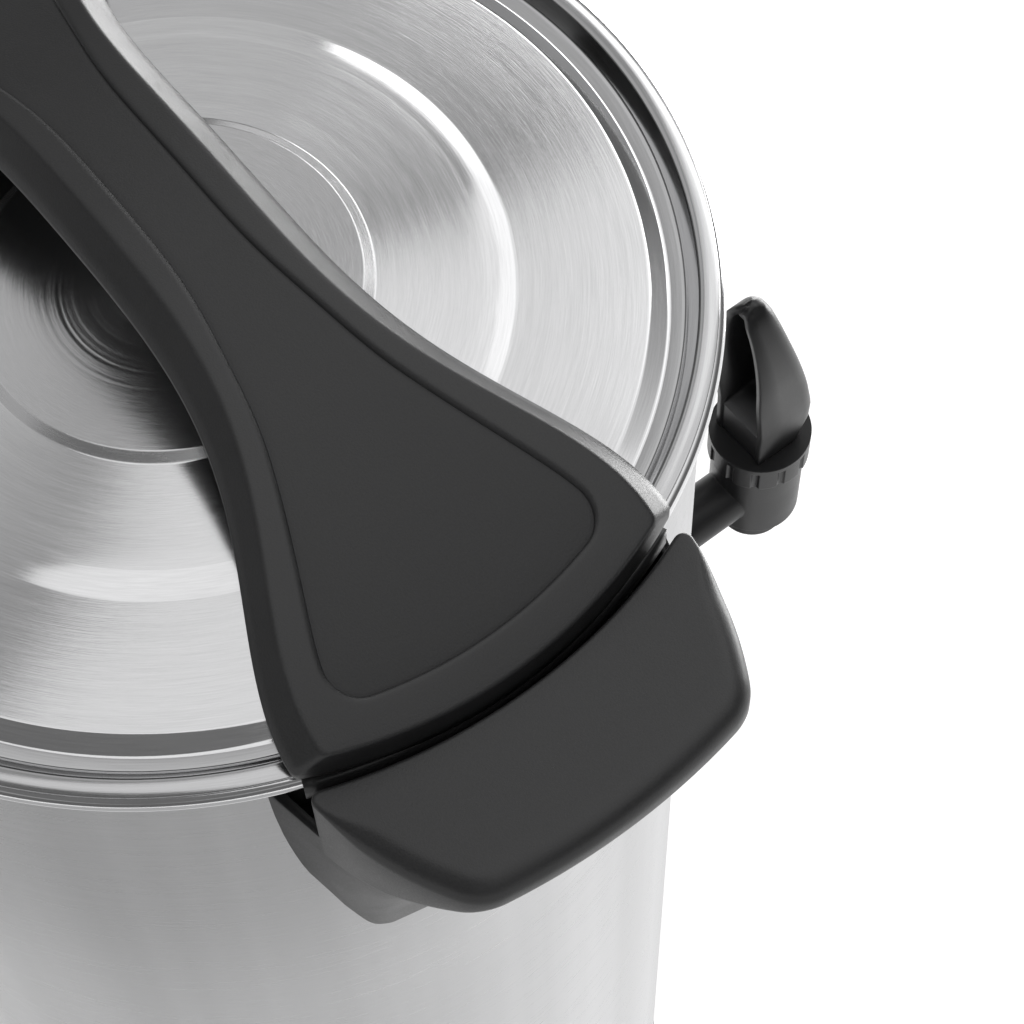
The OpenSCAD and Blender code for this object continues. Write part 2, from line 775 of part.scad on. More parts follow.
module tap_bonnet() color(dark) at_front() translate([barrel_x, 0, 0]) difference() {
    union() {
        rod_z(bonnet_r, barrel_top + touch, bonnet_top);
        rod_z(chamber_r - run, barrel_top - bonnet_lap, barrel_top + 1);
    }
    rod_z(stem_r + run, barrel_top - bonnet_lap - 1, bonnet_top + 1);
    for (i = [0 : notches - 1]) rotate([0, 0, (i + 0.5) * 360 / notches])
        translate([bonnet_r + notch_out, 0, 0]) rod_z(notch_r, barrel_top, bonnet_top - notch_top);
}

module tap_stem() color(zinc) at_front() translate([barrel_x, 0, 0]) difference() {
    rod_z(stem_r, seat_low + stem_in, stem_top);
    translate([0, reach / 2, pin_z]) rotate([90, 0, 0]) cylinder(r = pin_r + run, h = reach);
}

module tap_seat() color(silicone) at_front() translate([barrel_x, 0, 0]) difference() {
    rod_z(seat_r, seat_low, seat_low + seat_h);
    rod_z(stem_r + run, seat_low + stem_in - touch, seat_low + seat_h + 1);
}

module tap_spring() color(zinc) at_front() translate([barrel_x, 0, 0]) difference() {
    rod_z(spring_out, spring_low, spring_top);
    rod_z(spring_in, spring_low - 1, spring_top + 1);
}

module tap_pin() color(zinc) at_front() translate([barrel_x, 0, pin_z]) rotate([90, 0, 0])
    translate([0, 0, -pin_len / 2]) cylinder(r = pin_r, h = pin_len);

// Side view of the lever: a wedge that leans back at its top, drawn in by a wall
module lever_side(wall) polygon([
    [-lever_foot + wall, wall > 0 ? -1 : 0],
    [lever_foot - wall, wall > 0 ? -1 : 0],
    [lever_front - wall, pin_up],
    [lever_front - wall, lever_belly],
    [-lever_lean + lever_head - 1 - wall, lever_h - lever_head - wall],
    [-lever_lean - wall, lever_h - wall],
    [-lever_lean - lever_head, lever_h - wall],
    [wall > 0 ? -reach : -lever_lean - lever_head - 2, lever_h - lever_head - wall],
    [wall > 0 ? -reach : -lever_lean - lever_head, lever_h * 0.45],
    [-lever_foot + wall, lever_belly]
]);

// Front view of the lever: a paddle that narrows to a round top, drawn in by a wall
module lever_front_view(wall) {
    steps = 20;
    half = concat(
        [[lever_w / 2 - pin_inset - wall, wall > 0 ? -1 : 0], [lever_w / 2 - pin_inset - wall, lever_belly]],
        [for (i = [0 : steps]) let (a = 90 * i / steps)
            [(lever_w / 2 - wall) * cos(a), lever_h / 2 + (lever_h / 2 - wall) * sin(a)]]
    );
    polygon(concat(half, [for (i = [len(half) - 2 : -1 : 0]) [-half[i][0], half[i][1]]]));
}

module lever_solid(wall) intersection() {
    translate([0, reach / 2, 0]) rotate([90, 0, 0]) linear_extrude(height = reach) lever_side(wall);
    translate([-reach / 2, 0, 0]) rotate([90, 0, 90]) linear_extrude(height = reach) lever_front_view(wall);
}

module tap_lever() color(dark) at_front() translate([barrel_x, 0, lever_low]) difference() {
    lever_solid(0);
    difference() {
        lever_solid(lever_t);
        for (side = [-1, 1]) translate([0, side * (lever_slot / 2 + reach / 2), 0])
            block(-lever_foot, lever_foot, reach, -2, lever_belly);
    }
    translate([0, 0, pin_z - lever_low]) rotate([90, 0, 0])
        translate([0, 0, -pin_len / 2 - touch]) cylinder(r = pin_r + run, h = pin_len + 2 * touch);
}

// Base
module at_feet() for (i = [0 : feet_count - 1])
    rotate([0, 0, feet_turn + i * 360 / feet_count]) translate([foot_circle, 0, 0]) children();

module base_ring() color(black) difference() {
    union() {
        rotate_extrude() {
            translate([base_in, base_low]) square([base_t, ledge_z - base_low]);
            translate([ledge_in, ledge_z - ledge_t]) square([base_in - ledge_in + eps, ledge_t]);
            translate([wall_in - ledge_fit - base_t, ledge_z - eps]) square([base_t, base_top - ledge_z + eps]);
        }
        at_feet() rod_z(boss_r, plate_top + touch, ledge_z - ledge_t + eps);
    }
    at_feet() rod_z(foot_screw_r + run, 0, plate_top + boss_hole);
}

module base_plate() color(zinc) difference() {
    rod_z(base_in - free, base_low, plate_top);
    at_feet() rod_z(foot_screw_r + run * 4, 0, plate_top + 1);
    for (side = [0, 180], i = [0 : vent_count - 1]) rotate([0, 0, side])
        translate([vent_in + i * 3 * vent_w, 0, 0])
            block(-vent_w / 2, vent_w / 2, vent_len, base_low - 1, plate_top + 1);
}

module feet() color(dark) at_feet() difference() {
    rod_z(foot_r, 0, base_low - touch);
    rod_z(foot_screw_head + room, -1, foot_recess);
    rod_z(foot_screw_r + run * 4, 0, base_low + 1);
}

module foot_screws() color(zinc) at_feet() {
    rod_z(foot_screw_head, foot_recess - touch - foot_head_h, foot_recess - touch);
    rod_z(foot_screw_r, foot_recess - touch - eps, plate_top + boss_hole - room);
}

module cord_gland() color(dark) rotate([0, 0, 90]) difference() {
    union() {
        difference() {
            translate([0, 0, gland_z]) rod_x(gland_flange_r, wall_r - skin_in, gland_x);
            rod_z(wall_r + touch, 0, rim_z);
        }
        translate([0, 0, gland_z]) rod_x(gland_body_r, gland_x - gland_len, gland_x - eps);
    }
    translate([0, 0, gland_z]) rod_x(gland_bore, 0, reach);
}

gland_nut_x = end_x(wall_in, gland_flange_r) - touch;
module gland_nut() color(dark) rotate([0, 0, 90])
translate([gland_nut_x - gland_nut_t, 0, gland_z]) difference() {
    rotate([0, 90, 0]) cylinder(r = gland_flange_r, h = gland_nut_t, $fn = 6);
    rod_x(gland_body_r + run, -1, gland_nut_t + 1);
}

// Heating
module heater_plate() color(zinc) rod_z(heater_r, heater_low, heater_top);

element_open = 40;
element_leg = 20;
module heater_tube() color(zinc) {
    rotate([0, 0, 90 + element_open / 2]) rotate_extrude(angle = 360 - element_open)
        translate([element_ring, element_z]) circle(r = element_r);
    for (turn = [-1, 1]) rotate([0, 0, 90 + turn * element_open / 2]) translate([element_ring, 0, 0])
        rod_z(element_r, element_z - element_leg, element_z);
}

blade_w = 5;
blade_t = 0.8;
blade_len = 9;
module thermal_cutout() color(dark) {
    cutout_low = heater_low - touch - cutout_h;
    rod_z(cutout_r, cutout_low, heater_low - touch);
    for (side = [-1, 1]) translate([0, side * blade_w * 0.8, 0])
        block(-blade_t / 2, blade_t / 2, blade_w, cutout_low - blade_len, cutout_low + eps);
}

// Holes for the controls, through the panel and the wall behind it
module control_holes() at_front() {
    translate([0, 0, control_z]) rod_x(shaft_r + shaft_gap, 0, reach);
    rotate([0, 0, switch_turn]) translate([0, 0, control_z])
        block(0, reach, switch_w - 2 * switch_flange, -switch_h / 2 + switch_flange,
            switch_h / 2 - switch_flange);
    for (turn = lamp_turns) rotate([0, 0, turn]) translate([0, 0, control_z]) rod_x(lamp_r + touch, 0, reach);
}

// Control panel: a curved plate on the wall with flat bosses for the knob, the switch and the lamps
module control_panel() color(black) difference() {
    union() {
        rotate([0, 0, -90 - panel_turn]) rotate_extrude(angle = 2 * panel_turn)
            translate([0, control_z]) polygon([
                [wall_r - skin_in, -panel_h / 2],
                [panel_r - panel_edge, -panel_h / 2],
                [panel_r, -panel_h / 2 + panel_edge],
                [panel_r, panel_h / 2 - panel_edge],
                [panel_r - panel_edge, panel_h / 2],
                [wall_r - skin_in, panel_h / 2]
            ]);
        at_front() translate([0, 0, control_z]) {
            rod_x(knob_boss_r, wall_r - skin_in, panel_x);
            rotate([0, 0, switch_turn]) block(wall_r - skin_in, switch_x, switch_w + 2 * boss_edge,
                -switch_h / 2 - boss_edge, switch_h / 2 + boss_edge);
            for (turn = lamp_turns) rotate([0, 0, turn])
                rod_x(lamp_boss_r, wall_r - skin_in, panel_r + boss_edge);
        }
    }
    rod_z(wall_r + touch, 0, rim_z);
    control_holes();
}

module thermostat_body() color(dark) at_front() translate([0, 0, control_z]) difference() {
    block(thermo_x - touch - thermo_depth, thermo_x - touch, thermo_size, -thermo_h / 2, thermo_h / 2);
    rod_x(shaft_r + run, thermo_x - thermo_bore, thermo_x + 1);
}

module thermostat_shaft() color(zinc) at_front() translate([0, 0, control_z])
    rod_x(shaft_r, thermo_x - thermo_bore + free, knob_in + knob_h - knob_wall - free);

module thermostat_knob() color(black) at_front() translate([0, 0, control_z]) difference() {
    union() {
        translate([knob_in, 0, 0]) rotate([0, 90, 0])
            cylinder(r1 = knob_r, r2 = knob_r - knob_draft, h = knob_skirt);
        translate([knob_in + knob_skirt - eps, 0, 0]) rotate([0, 90, 0])
            cylinder(r1 = knob_r - knob_step, r2 = knob_r - knob_step - knob_draft, h = knob_h - knob_skirt);
    }
    rod_x(shaft_r + touch, knob_in - 1, knob_in + knob_h - knob_wall);
    for (side = [-1, 1]) translate([0, side * (knob_bar + reach) / 2, 0])
        block(knob_in + knob_bar_in, knob_in + knob_h + 1, reach, -reach / 2, reach / 2);
    block(knob_in + knob_h - mark_depth, knob_in + knob_h + 1, mark_w, mark_low, knob_r);
}

// Power switch
switch_in = switch_x + switch_flange - switch_depth;
module at_switch() at_front() rotate([0, 0, switch_turn]) translate([0, 0, control_z]) children();

module switch_housing() color(dark) at_switch() difference() {
    union() {
        block(switch_x + touch, switch_x + switch_flange, switch_w, -switch_h / 2, switch_h / 2);
        block(switch_in, switch_x + switch_flange - eps, switch_w - 2 * switch_flange - 2 * touch,
            -switch_h / 2 + switch_flange + touch, switch_h / 2 - switch_flange - touch);
    }
    translate([switch_x, 0, 0]) rotate([90, 0, 0]) translate([0, 0, -rocker_w / 2 - free])
        cylinder(r = rocker_r + free, h = rocker_w + 2 * free);
    block(switch_x, switch_x + switch_open, rocker_w + 2 * free, -rocker_r - free, rocker_r + free);
}

module power_rocker() color(black) at_switch() translate([switch_x, 0, 0]) difference() {
    rotate([90, 0, 0]) translate([0, 0, -rocker_w / 2]) cylinder(r = rocker_r, h = rocker_w);
    rotate([0, rocker_tilt, 0]) translate([rocker_face, 0, 0])
        for (half = [-1, 1]) rotate([0, half * rocker_tilt, 0])
            block(0, reach, reach, half < 0 ? -reach : 0, half < 0 ? 0 : reach);
}

module pilot_lamps() color([0.8, 0.3, 0.1]) at_front() for (turn = lamp_turns) rotate([0, 0, turn])
    translate([0, 0, control_z]) {
        rod_x(lamp_r, wall_in - lamp_in, panel_r + boss_edge + lamp_cap / 2);
        rod_x(lamp_r + lamp_cap, panel_r + boss_edge + touch, panel_r + boss_edge + lamp_cap);
    }

block_len = 36;
block_w = 18;
block_h = 16;
block_y = 50;
block_pitch = 11;
block_hole = 2.5;
block_floor = 6;
module terminal_block() color([0.85, 0.84, 0.8]) difference() {
    translate([-block_len / 2, block_y, plate_top + touch]) cube([block_len, block_w, block_h]);
    for (i = [-1, 0, 1]) translate([i * block_pitch, block_y + block_w / 2, plate_top])
        rod_z(block_hole, block_floor, block_h + 1);
}

tank_wall();
skirt_wall();
tank_floor();
lid_shell();
lid_gasket();
bow_handle();
bow_inlay();
bow_base();
bow_screws();
bow_washers();
ear_grip_left();
ear_grip_right();
ear_bracket_left();
ear_bracket_right();
ear_screws();
ear_washers();
grip_screws();
tap_body();
tap_saddle();
tap_inner_washer();
tap_nut();
tap_bonnet();
tap_stem();
tap_seat();
tap_spring();
tap_pin();
tap_lever();
base_ring();
base_plate();
feet();
foot_screws();
cord_gland();
gland_nut();
heater_plate();
heater_tube();
thermal_cutout();
control_panel();
thermostat_body();
thermostat_shaft();
thermostat_knob();
switch_housing();
power_rocker();
pilot_lamps();
terminal_block();
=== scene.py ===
# %% [markdown]
# A hot water urn, dressed for its photograph.
# The solids come from the CAD frame and stay where they are. This lesson gives each one its finish, and makes
# those pieces again whose soft edges the solids leave plain: lid, wall and rim, bow handle, ears with their
# brackets, and the tap's lever and spring.
# Blender works in metres. The shapes are written in millimetres, and mm turns them into metres.

# %% Load the frame
import math

import bpy
from mathutils import Matrix, Vector


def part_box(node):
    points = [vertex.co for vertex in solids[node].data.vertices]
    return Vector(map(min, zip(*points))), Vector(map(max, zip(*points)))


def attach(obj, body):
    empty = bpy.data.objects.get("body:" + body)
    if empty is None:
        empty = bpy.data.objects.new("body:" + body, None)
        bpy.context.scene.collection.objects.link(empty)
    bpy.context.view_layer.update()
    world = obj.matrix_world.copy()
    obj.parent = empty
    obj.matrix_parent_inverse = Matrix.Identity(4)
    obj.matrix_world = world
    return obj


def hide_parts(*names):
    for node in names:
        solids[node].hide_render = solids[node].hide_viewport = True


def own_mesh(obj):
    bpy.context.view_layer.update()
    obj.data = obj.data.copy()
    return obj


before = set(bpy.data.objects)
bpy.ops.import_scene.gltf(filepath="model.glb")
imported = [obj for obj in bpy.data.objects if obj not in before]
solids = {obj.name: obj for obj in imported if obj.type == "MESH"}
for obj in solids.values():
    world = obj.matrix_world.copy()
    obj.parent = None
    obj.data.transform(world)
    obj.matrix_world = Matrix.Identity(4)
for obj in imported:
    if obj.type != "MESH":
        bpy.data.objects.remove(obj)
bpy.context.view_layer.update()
mm = 0.001
rim_z, wall_r = 530.0, 116.0

# %% [markdown]
# The photograph looks steeply down on the lid from behind the left ear.
# The camera's place and turn were worked out from the ellipses of the rim and from the ends of the bow.
# A camera's matrix has its right, up and backward directions as columns, so these three are built first.

# %% Camera
eye = Vector((-0.30294, 0.12859, rim_z * mm + 0.48046))
forward = Vector((0.39171, -0.27990, -0.87648)).normalized()
level_right = forward.cross(Vector((0, 0, 1))).normalized()
level_up = level_right.cross(forward)
roll = -0.04688
right = level_right * math.cos(roll) + level_up * math.sin(roll)
up = level_up * math.cos(roll) - level_right * math.sin(roll)

lens = bpy.data.cameras.new("photo_camera")
lens.sensor_width = 36
lens.lens = 93.38
lens.clip_start = 0.01
lens.clip_end = 50
photo_camera = bpy.data.objects.new("photo_camera", lens)
bpy.context.scene.collection.objects.link(photo_camera)
turn = Matrix((right, up, -forward)).transposed().to_4x4()
photo_camera.matrix_world = Matrix.Translation(eye) @ turn
bpy.context.scene.camera = photo_camera
print("camera at", [round(c, 3) for c in eye])

# %% [markdown]
# Every finish here is a node tree on one Principled shader.
# A finish could be wired by hand in the editor, but written down it can be read and changed.
# Small helpers keep the trees short: one adds a node with its settings, one a sum, one a ramp, one a new material.

# %% Node helpers
def add(tree, kind, links=(), **settings):
    """A new node; settings are its own, and links pair an input with another node's output or a plain value."""
    made = tree.nodes.new(kind)
    for key, value in settings.items():
        setattr(made, key, value)
    for name, source in links:
        if isinstance(source, bpy.types.NodeSocket):
            tree.links.new(source, made.inputs[name])
        else:
            made.inputs[name].default_value = source
    return made


def math_of(tree, operation, a, b=0.0):
    """One sum of two numbers or sockets."""
    return add(tree, "ShaderNodeMath", [(0, a), (1, b)], operation=operation).outputs[0]


def ramp(tree, value, low, high, out_low, out_high):
    """Maps a number from one range to another, and holds it at the ends."""
    return add(tree, "ShaderNodeMapRange", [("Value", value), ("From Min", low), ("From Max", high),
               ("To Min", out_low), ("To Max", out_high)]).outputs[0]


def new_finish(name, **sockets):
    """An empty material with its Principled shader, and the sockets that are the same all over."""
    made = bpy.data.materials.new(name)
    made.use_nodes = True
    shader = made.node_tree.nodes["Principled BSDF"]
    for key, value in sockets.items():
        shader.inputs[key.replace("_", " ")].default_value = value
    return made, made.node_tree, shader


print("node helpers ready")

# %% [markdown]
# Brushed and spun steel shine in streaks, because their scratches all run one way round the axis.
# The streaks come from a noise read in round coordinates: far along the scratch, and finely across it.
# An image of scratches would need unwrapping and would show a seam; the noise goes round without one.
# The shader's own anisotropy then spreads the reflection across the scratches: its tangent runs round the Z
# axis, and a quarter of a turn sets it across them.

# %% Round coordinates and streaks
def round_place(tree):
    """Sockets for the distance from the axis, the direction from it as two numbers, and the height."""
    place = add(tree, "ShaderNodeTexCoord").outputs["Object"]
    x, y, z = add(tree, "ShaderNodeSeparateXYZ", [(0, place)]).outputs
    square = math_of(tree, "ADD", math_of(tree, "MULTIPLY", x, x), math_of(tree, "MULTIPLY", y, y))
    radius = math_of(tree, "MAXIMUM", math_of(tree, "SQRT", square), 0.0005)
    return radius, (math_of(tree, "DIVIDE", x, radius), math_of(tree, "DIVIDE", y, radius)), z


def streaks(tree, toward, across, along_scale, across_scale, detail=4.0):
    """A noise drawn out along the scratches; it goes round in a circle, so it has no seam."""
    where = add(tree, "ShaderNodeCombineXYZ", [(0, math_of(tree, "MULTIPLY", toward[0], along_scale)),
                (1, math_of(tree, "MULTIPLY", toward[1], along_scale)),
                (2, math_of(tree, "MULTIPLY", across, across_scale))])
    return add(tree, "ShaderNodeTexNoise", [("Vector", where.outputs[0]), ("Scale", 1.0), ("Detail", detail),
               ("Roughness", 0.6)]).outputs[0]


def steel_sockets(tree, shader, shade, rough, height, depth, reach=0.00004):
    """Links the grey, the roughness and the bump of a steel, and its tangent round the Z axis."""
    colour = add(tree, "ShaderNodeCombineColor", [(0, shade), (1, shade),
                 (2, math_of(tree, "MULTIPLY", shade, 1.01))])
    tree.links.new(colour.outputs[0], shader.inputs["Base Color"])
    tree.links.new(rough, shader.inputs["Roughness"])
    bump = add(tree, "ShaderNodeBump", [("Height", height), ("Strength", depth), ("Distance", reach)])
    tree.links.new(bump.outputs[0], shader.inputs["Normal"])
    tangent = add(tree, "ShaderNodeTangent", direction_type="RADIAL", axis="Z")
    tree.links.new(tangent.outputs[0], shader.inputs["Tangent"])


print("round coordinates ready")

# %% [markdown]
# The urn shows two ways of finishing sheet steel: brushed round and round, and faced on a lathe at the lid's centre.
# Both use the streaks for grey, roughness and bump, so one look ties them together; a few numbers tell them apart.
# A little of the grey sways slowly round the wall: painted reflection bands, standing in for the soft light and dark
# bands that a not quite round sheet mirrors.

# %% Steels
hair_along, band_along, band_share = 9.0, 2.2, 0.12
quarter_turn = 0.25


def scratched_steel(name, scratch, tone, rough, depth, anisotropy, fine, spread=0.10, sway=0.0):
    """Steel scratched round the axis; scratch says if the scratches stack up the wall or out across the lid."""
    made, tree, shader = new_finish(name, Metallic=1.0, Anisotropic=anisotropy, Anisotropic_Rotation=quarter_turn)
    radius, toward, height = round_place(tree)
    across = height if scratch == "wall" else radius
    hair = streaks(tree, toward, across, hair_along, fine)
    band = streaks(tree, toward, across, band_along, fine * band_share, 2.0)
    both = math_of(tree, "ADD", math_of(tree, "MULTIPLY", hair, 0.6), math_of(tree, "MULTIPLY", band, 0.4))
    shade = ramp(tree, both, 0.3, 0.7, tone * 0.88, tone * 1.04)
    # sway paints slow reflection bands: the grey rises and falls round the axis, standing in for the bands that a
    # not quite round wall mirrors
    if sway:
        painted_bands = streaks(tree, toward, height, 5.0, 0.6, 2.0)
        shade = math_of(tree, "MULTIPLY", shade, ramp(tree, painted_bands, 0.3, 0.7, 1 - sway, 1 + sway))
    gloss = ramp(tree, both, 0.3, 0.7, rough - spread / 2, rough + spread / 2)
    steel_sockets(tree, shader, shade, gloss, hair, depth)
    return made


def turned_steel(name, tone, rough, rings, depth):
    """Steel faced on a lathe: fine rings that are deep near the centre and fade outward."""
    made, tree, shader = new_finish(name, Metallic=1.0, Anisotropic=0.6, Anisotropic_Rotation=quarter_turn)
    radius, toward, _ = round_place(tree)
    groove = streaks(tree, toward, radius, 0.25, rings, 1.0)
    hair = streaks(tree, toward, radius, hair_along, 4200)
    fade = ramp(tree, radius, 0.021, 0.031, 1.0, 0.12)
    cut = math_of(tree, "ADD", math_of(tree, "MULTIPLY", groove, fade), math_of(tree, "MULTIPLY", hair, 0.06))
    shade = ramp(tree, hair, 0.3, 0.7, tone * 0.94, tone * 1.03)
    gloss = ramp(tree, hair, 0.3, 0.7, rough - 0.03, rough + 0.03)
    steel_sockets(tree, shader, shade, gloss, cut, depth, reach=0.00016)
    return made


# the wall's last number, 0.08, is how far its painted reflection bands lift and lower the grey
wall_brushed = scratched_steel("wall_brushed_steel", "wall", 0.62, 0.30, 0.30, 0.80, 5200, 0.10, 0.08)
lid_brushed = scratched_steel("lid_spun_steel", "lid", 0.68, 0.11, 0.35, 0.70, 4200, 0.05)
# the dish's slope: its roughness, bump and anisotropy are its own finish, and its lighter grey is a painted
# highlight
lid_slope_lit = scratched_steel("lid_slope_painted_highlight", "lid", 0.74, 0.14, 0.20, 0.80, 4200, 0.05)
lid_turned = turned_steel("lid_turned_centre", 0.68, 0.20, 680, 1.0)
lid_polished = scratched_steel("lid_polished_rings", "lid", 0.76, 0.10, 0.10, 0.30, 2600, 0.05)
lid_step = scratched_steel("lid_step_steel", "lid", 0.62, 0.26, 0.20, 0.30, 2600, 0.06)
lid_flange = scratched_steel("lid_flange_steel", "lid", 0.56, 0.14, 0.20, 0.60, 2600, 0.06)
bead_polished = scratched_steel("bead_polished_steel", "wall", 0.76, 0.11, 0.08, 0.30, 2600, 0.05)
lid_steels = (lid_brushed, lid_turned, lid_polished, lid_slope_lit, lid_flange, lid_step)
print("steels:", [m.name for m in (wall_brushed, *lid_steels, bead_polished)])

# %% [markdown]
# The black pieces are moulded plastic with a fine spark-eroded grain, matt and slightly uneven in its gloss.
# A grain could be sculpted, but at under half a millimetre a bump from a noise does the same for no faces at all.
# A Bevel node rounds the normals at hard edges, so that the solids catch a thin line of light there.

# %% Plastics, rubber and small metals
def moulded(name, colour, rough, grain, depth, edge=0.0006, gloss=0.35):
    """Grained plastic or rubber; grain is the number of grains in a metre."""
    made, tree, shader = new_finish(name, Specular_IOR_Level=gloss)
    place = add(tree, "ShaderNodeTexCoord").outputs["Object"]
    fine = add(tree, "ShaderNodeTexNoise", [("Vector", place), ("Scale", grain), ("Detail", 3.0)]).outputs[0]
    cloud = add(tree, "ShaderNodeTexNoise", [("Vector", place), ("Scale", 38.0), ("Detail", 4.0)]).outputs[0]
    shade = math_of(tree, "ADD", ramp(tree, fine, 0.3, 0.7, 0.78, 1.12),
                    ramp(tree, cloud, 0.3, 0.7, -0.08, 0.08))
    shades = [math_of(tree, "MULTIPLY", shade, part) for part in colour]
    mixed = add(tree, "ShaderNodeCombineColor", list(enumerate(shades)))
    tree.links.new(mixed.outputs[0], shader.inputs["Base Color"])
    tree.links.new(ramp(tree, math_of(tree, "ADD", fine, cloud), 0.7, 1.3, rough - 0.06, rough + 0.08),
                   shader.inputs["Roughness"])
    edges = add(tree, "ShaderNodeBevel", [("Radius", edge)], samples=4)
    bump = add(tree, "ShaderNodeBump", [("Height", fine), ("Strength", depth), ("Distance", 0.0001),
               ("Normal", edges.outputs[0])])
    tree.links.new(bump.outputs[0], shader.inputs["Normal"])
    return made


def plain_metal(name, tone, rough, grain, metallic=1.0):
    """Plated or cast metal with a soft mottle."""
    made, tree, shader = new_finish(name, Metallic=metallic)
    place = add(tree, "ShaderNodeTexCoord").outputs["Object"]
    mottle = add(tree, "ShaderNodeTexNoise", [("Vector", place), ("Scale", grain), ("Detail", 5.0)]).outputs[0]
    shades = [ramp(tree, mottle, 0.3, 0.7, part * 0.85, part * 1.05) for part in tone]
    colour = add(tree, "ShaderNodeCombineColor", list(enumerate(shades)))
    tree.links.new(colour.outputs[0], shader.inputs["Base Color"])
    tree.links.new(ramp(tree, mottle, 0.3, 0.7, rough - 0.08, rough + 0.10), shader.inputs["Roughness"])
    bump = add(tree, "ShaderNodeBump", [("Height", mottle), ("Strength", 0.2), ("Distance", 0.0001)])
    tree.links.new(bump.outputs[0], shader.inputs["Normal"])
    return made


bow_black = moulded("bow_matt_black", (0.016, 0.016, 0.0165), 0.37, 2600, 0.40, gloss=0.5)
inlay_black = moulded("inlay_grained_black", (0.017, 0.017, 0.0175), 0.48, 2200, 0.55, gloss=0.45)
ear_black = moulded("ear_matt_black", (0.016, 0.016, 0.0165), 0.40, 2600, 0.40, gloss=0.5)
tap_black = moulded("tap_satin_black", (0.008, 0.008, 0.0085), 0.36, 3000, 0.25)
base_black = moulded("base_matt_black", (0.022, 0.022, 0.023), 0.52, 2400, 0.45)
control_black = moulded("control_satin_black", (0.018, 0.018, 0.019), 0.42, 2800, 0.30)
foot_rubber = moulded("foot_rubber", (0.030, 0.030, 0.030), 0.75, 1500, 0.60)
seal_silicone = moulded("seal_silicone", (0.62, 0.61, 0.57), 0.55, 900, 0.15)
terminal_white = moulded("terminal_nylon", (0.68, 0.66, 0.60), 0.50, 1800, 0.20)
rocker_red = moulded("rocker_red", (0.42, 0.022, 0.018), 0.35, 2800, 0.12)
lamp_amber = moulded("lamp_amber", (0.80, 0.22, 0.03), 0.16, 600, 0.05)
zinc_screw = plain_metal("zinc_plated_screw", (0.60, 0.61, 0.62), 0.34, 900)
floor_steel = plain_metal("tank_floor_steel", (0.62, 0.62, 0.62), 0.30, 260)
plate_steel = plain_metal("galvanised_plate", (0.50, 0.51, 0.52), 0.46, 160)
heater_alloy = plain_metal("cast_heater_alloy", (0.44, 0.44, 0.45), 0.55, 320)
print("moulded and metal finishes:", len(bpy.data.materials))

# %% [markdown]
# The solids that keep their own shape only need a finish.
# They could be dressed one by one, but one table shows at a glance which finish goes on which node.

# %% Dress the solids
finish_of = {
    "tank_wall": wall_brushed, "skirt_wall": wall_brushed, "tank_floor": floor_steel, "lid_shell": lid_brushed,
    "lid_gasket": seal_silicone, "bow_handle": bow_black, "bow_inlay": inlay_black, "bow_base": bow_black,
    "bow_screws": zinc_screw, "bow_washers": zinc_screw, "ear_grip_left": ear_black, "ear_grip_right": ear_black,
    "ear_bracket_left": ear_black, "ear_bracket_right": ear_black, "ear_screws": zinc_screw,
    "ear_washers": seal_silicone, "grip_screws": zinc_screw, "tap_body": tap_black, "tap_saddle": tap_black,
    "tap_inner_washer": seal_silicone, "tap_nut": zinc_screw, "tap_bonnet": tap_black, "tap_stem": zinc_screw,
    "tap_seat": seal_silicone, "tap_spring": zinc_screw, "tap_pin": zinc_screw, "tap_lever": tap_black,
    "base_ring": base_black, "base_plate": plate_steel, "feet": foot_rubber, "foot_screws": zinc_screw,
    "cord_gland": control_black, "gland_nut": control_black, "heater_plate": heater_alloy,
    "heater_tube": heater_alloy, "thermal_cutout": control_black, "control_panel": control_black,
    "thermostat_body": control_black, "thermostat_shaft": zinc_screw, "thermostat_knob": control_black,
    "switch_housing": control_black, "power_rocker": rocker_red, "pilot_lamps": lamp_amber,
    "terminal_block": terminal_white,
}
for name, solid in solids.items():
    solid.data.materials.clear()
    solid.data.materials.append(finish_of[name])
print("dressed:", len(finish_of), "left over:", sorted(set(solids) - set(finish_of)))

# %% [markdown]
# Most new pieces are either turned, like the lid, or wrapped in rings of points, like the handles.
# So two makers are enough: one spins a profile about the axis, and one joins ring after ring into a skin.
# Small helpers soften a profile's corners, because spun sheet never has a sharp bend, and close a skin's ends.
# Modifiers could do some of this, but plain points leave exactly the faces that are wanted.

# %% Mesh makers
def make_piece(name, points, faces, body, finish, stands_for=()):
    """A smooth mesh from points in metres, which rides on its body and may stand for CAD nodes."""
    mesh = bpy.data.meshes.new(name)
    mesh.from_pydata(points, [], faces)
    mesh.validate()
    for face in mesh.polygons:
        face.use_smooth = True
    mesh.materials.append(finish)
    piece = bpy.data.objects.new(name, mesh)
    bpy.context.scene.collection.objects.link(piece)
    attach(piece, body)
    if stands_for:
        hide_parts(*stands_for)
    print(name, "faces:", len(mesh.polygons))
    return piece


def soften(profile, cuts, steps=6):
    """Rounds each inner corner of a profile; cuts are how far from the corner the bend starts."""
    out = [profile[0]]
    for before, corner, after, cut in zip(profile, profile[1:], profile[2:], cuts):
        before, corner, after = Vector(before), Vector(corner), Vector(after)
        start = corner + (before - corner).normalized() * min(cut, (before - corner).length * 0.48)
        end = corner + (after - corner).normalized() * min(cut, (after - corner).length * 0.48)
        for i in range(steps + 1):
            s = i / steps
            out.append(tuple(start * (1 - s) ** 2 + corner * 2 * s * (1 - s) + end * s * s))
    return out + [profile[-1]]


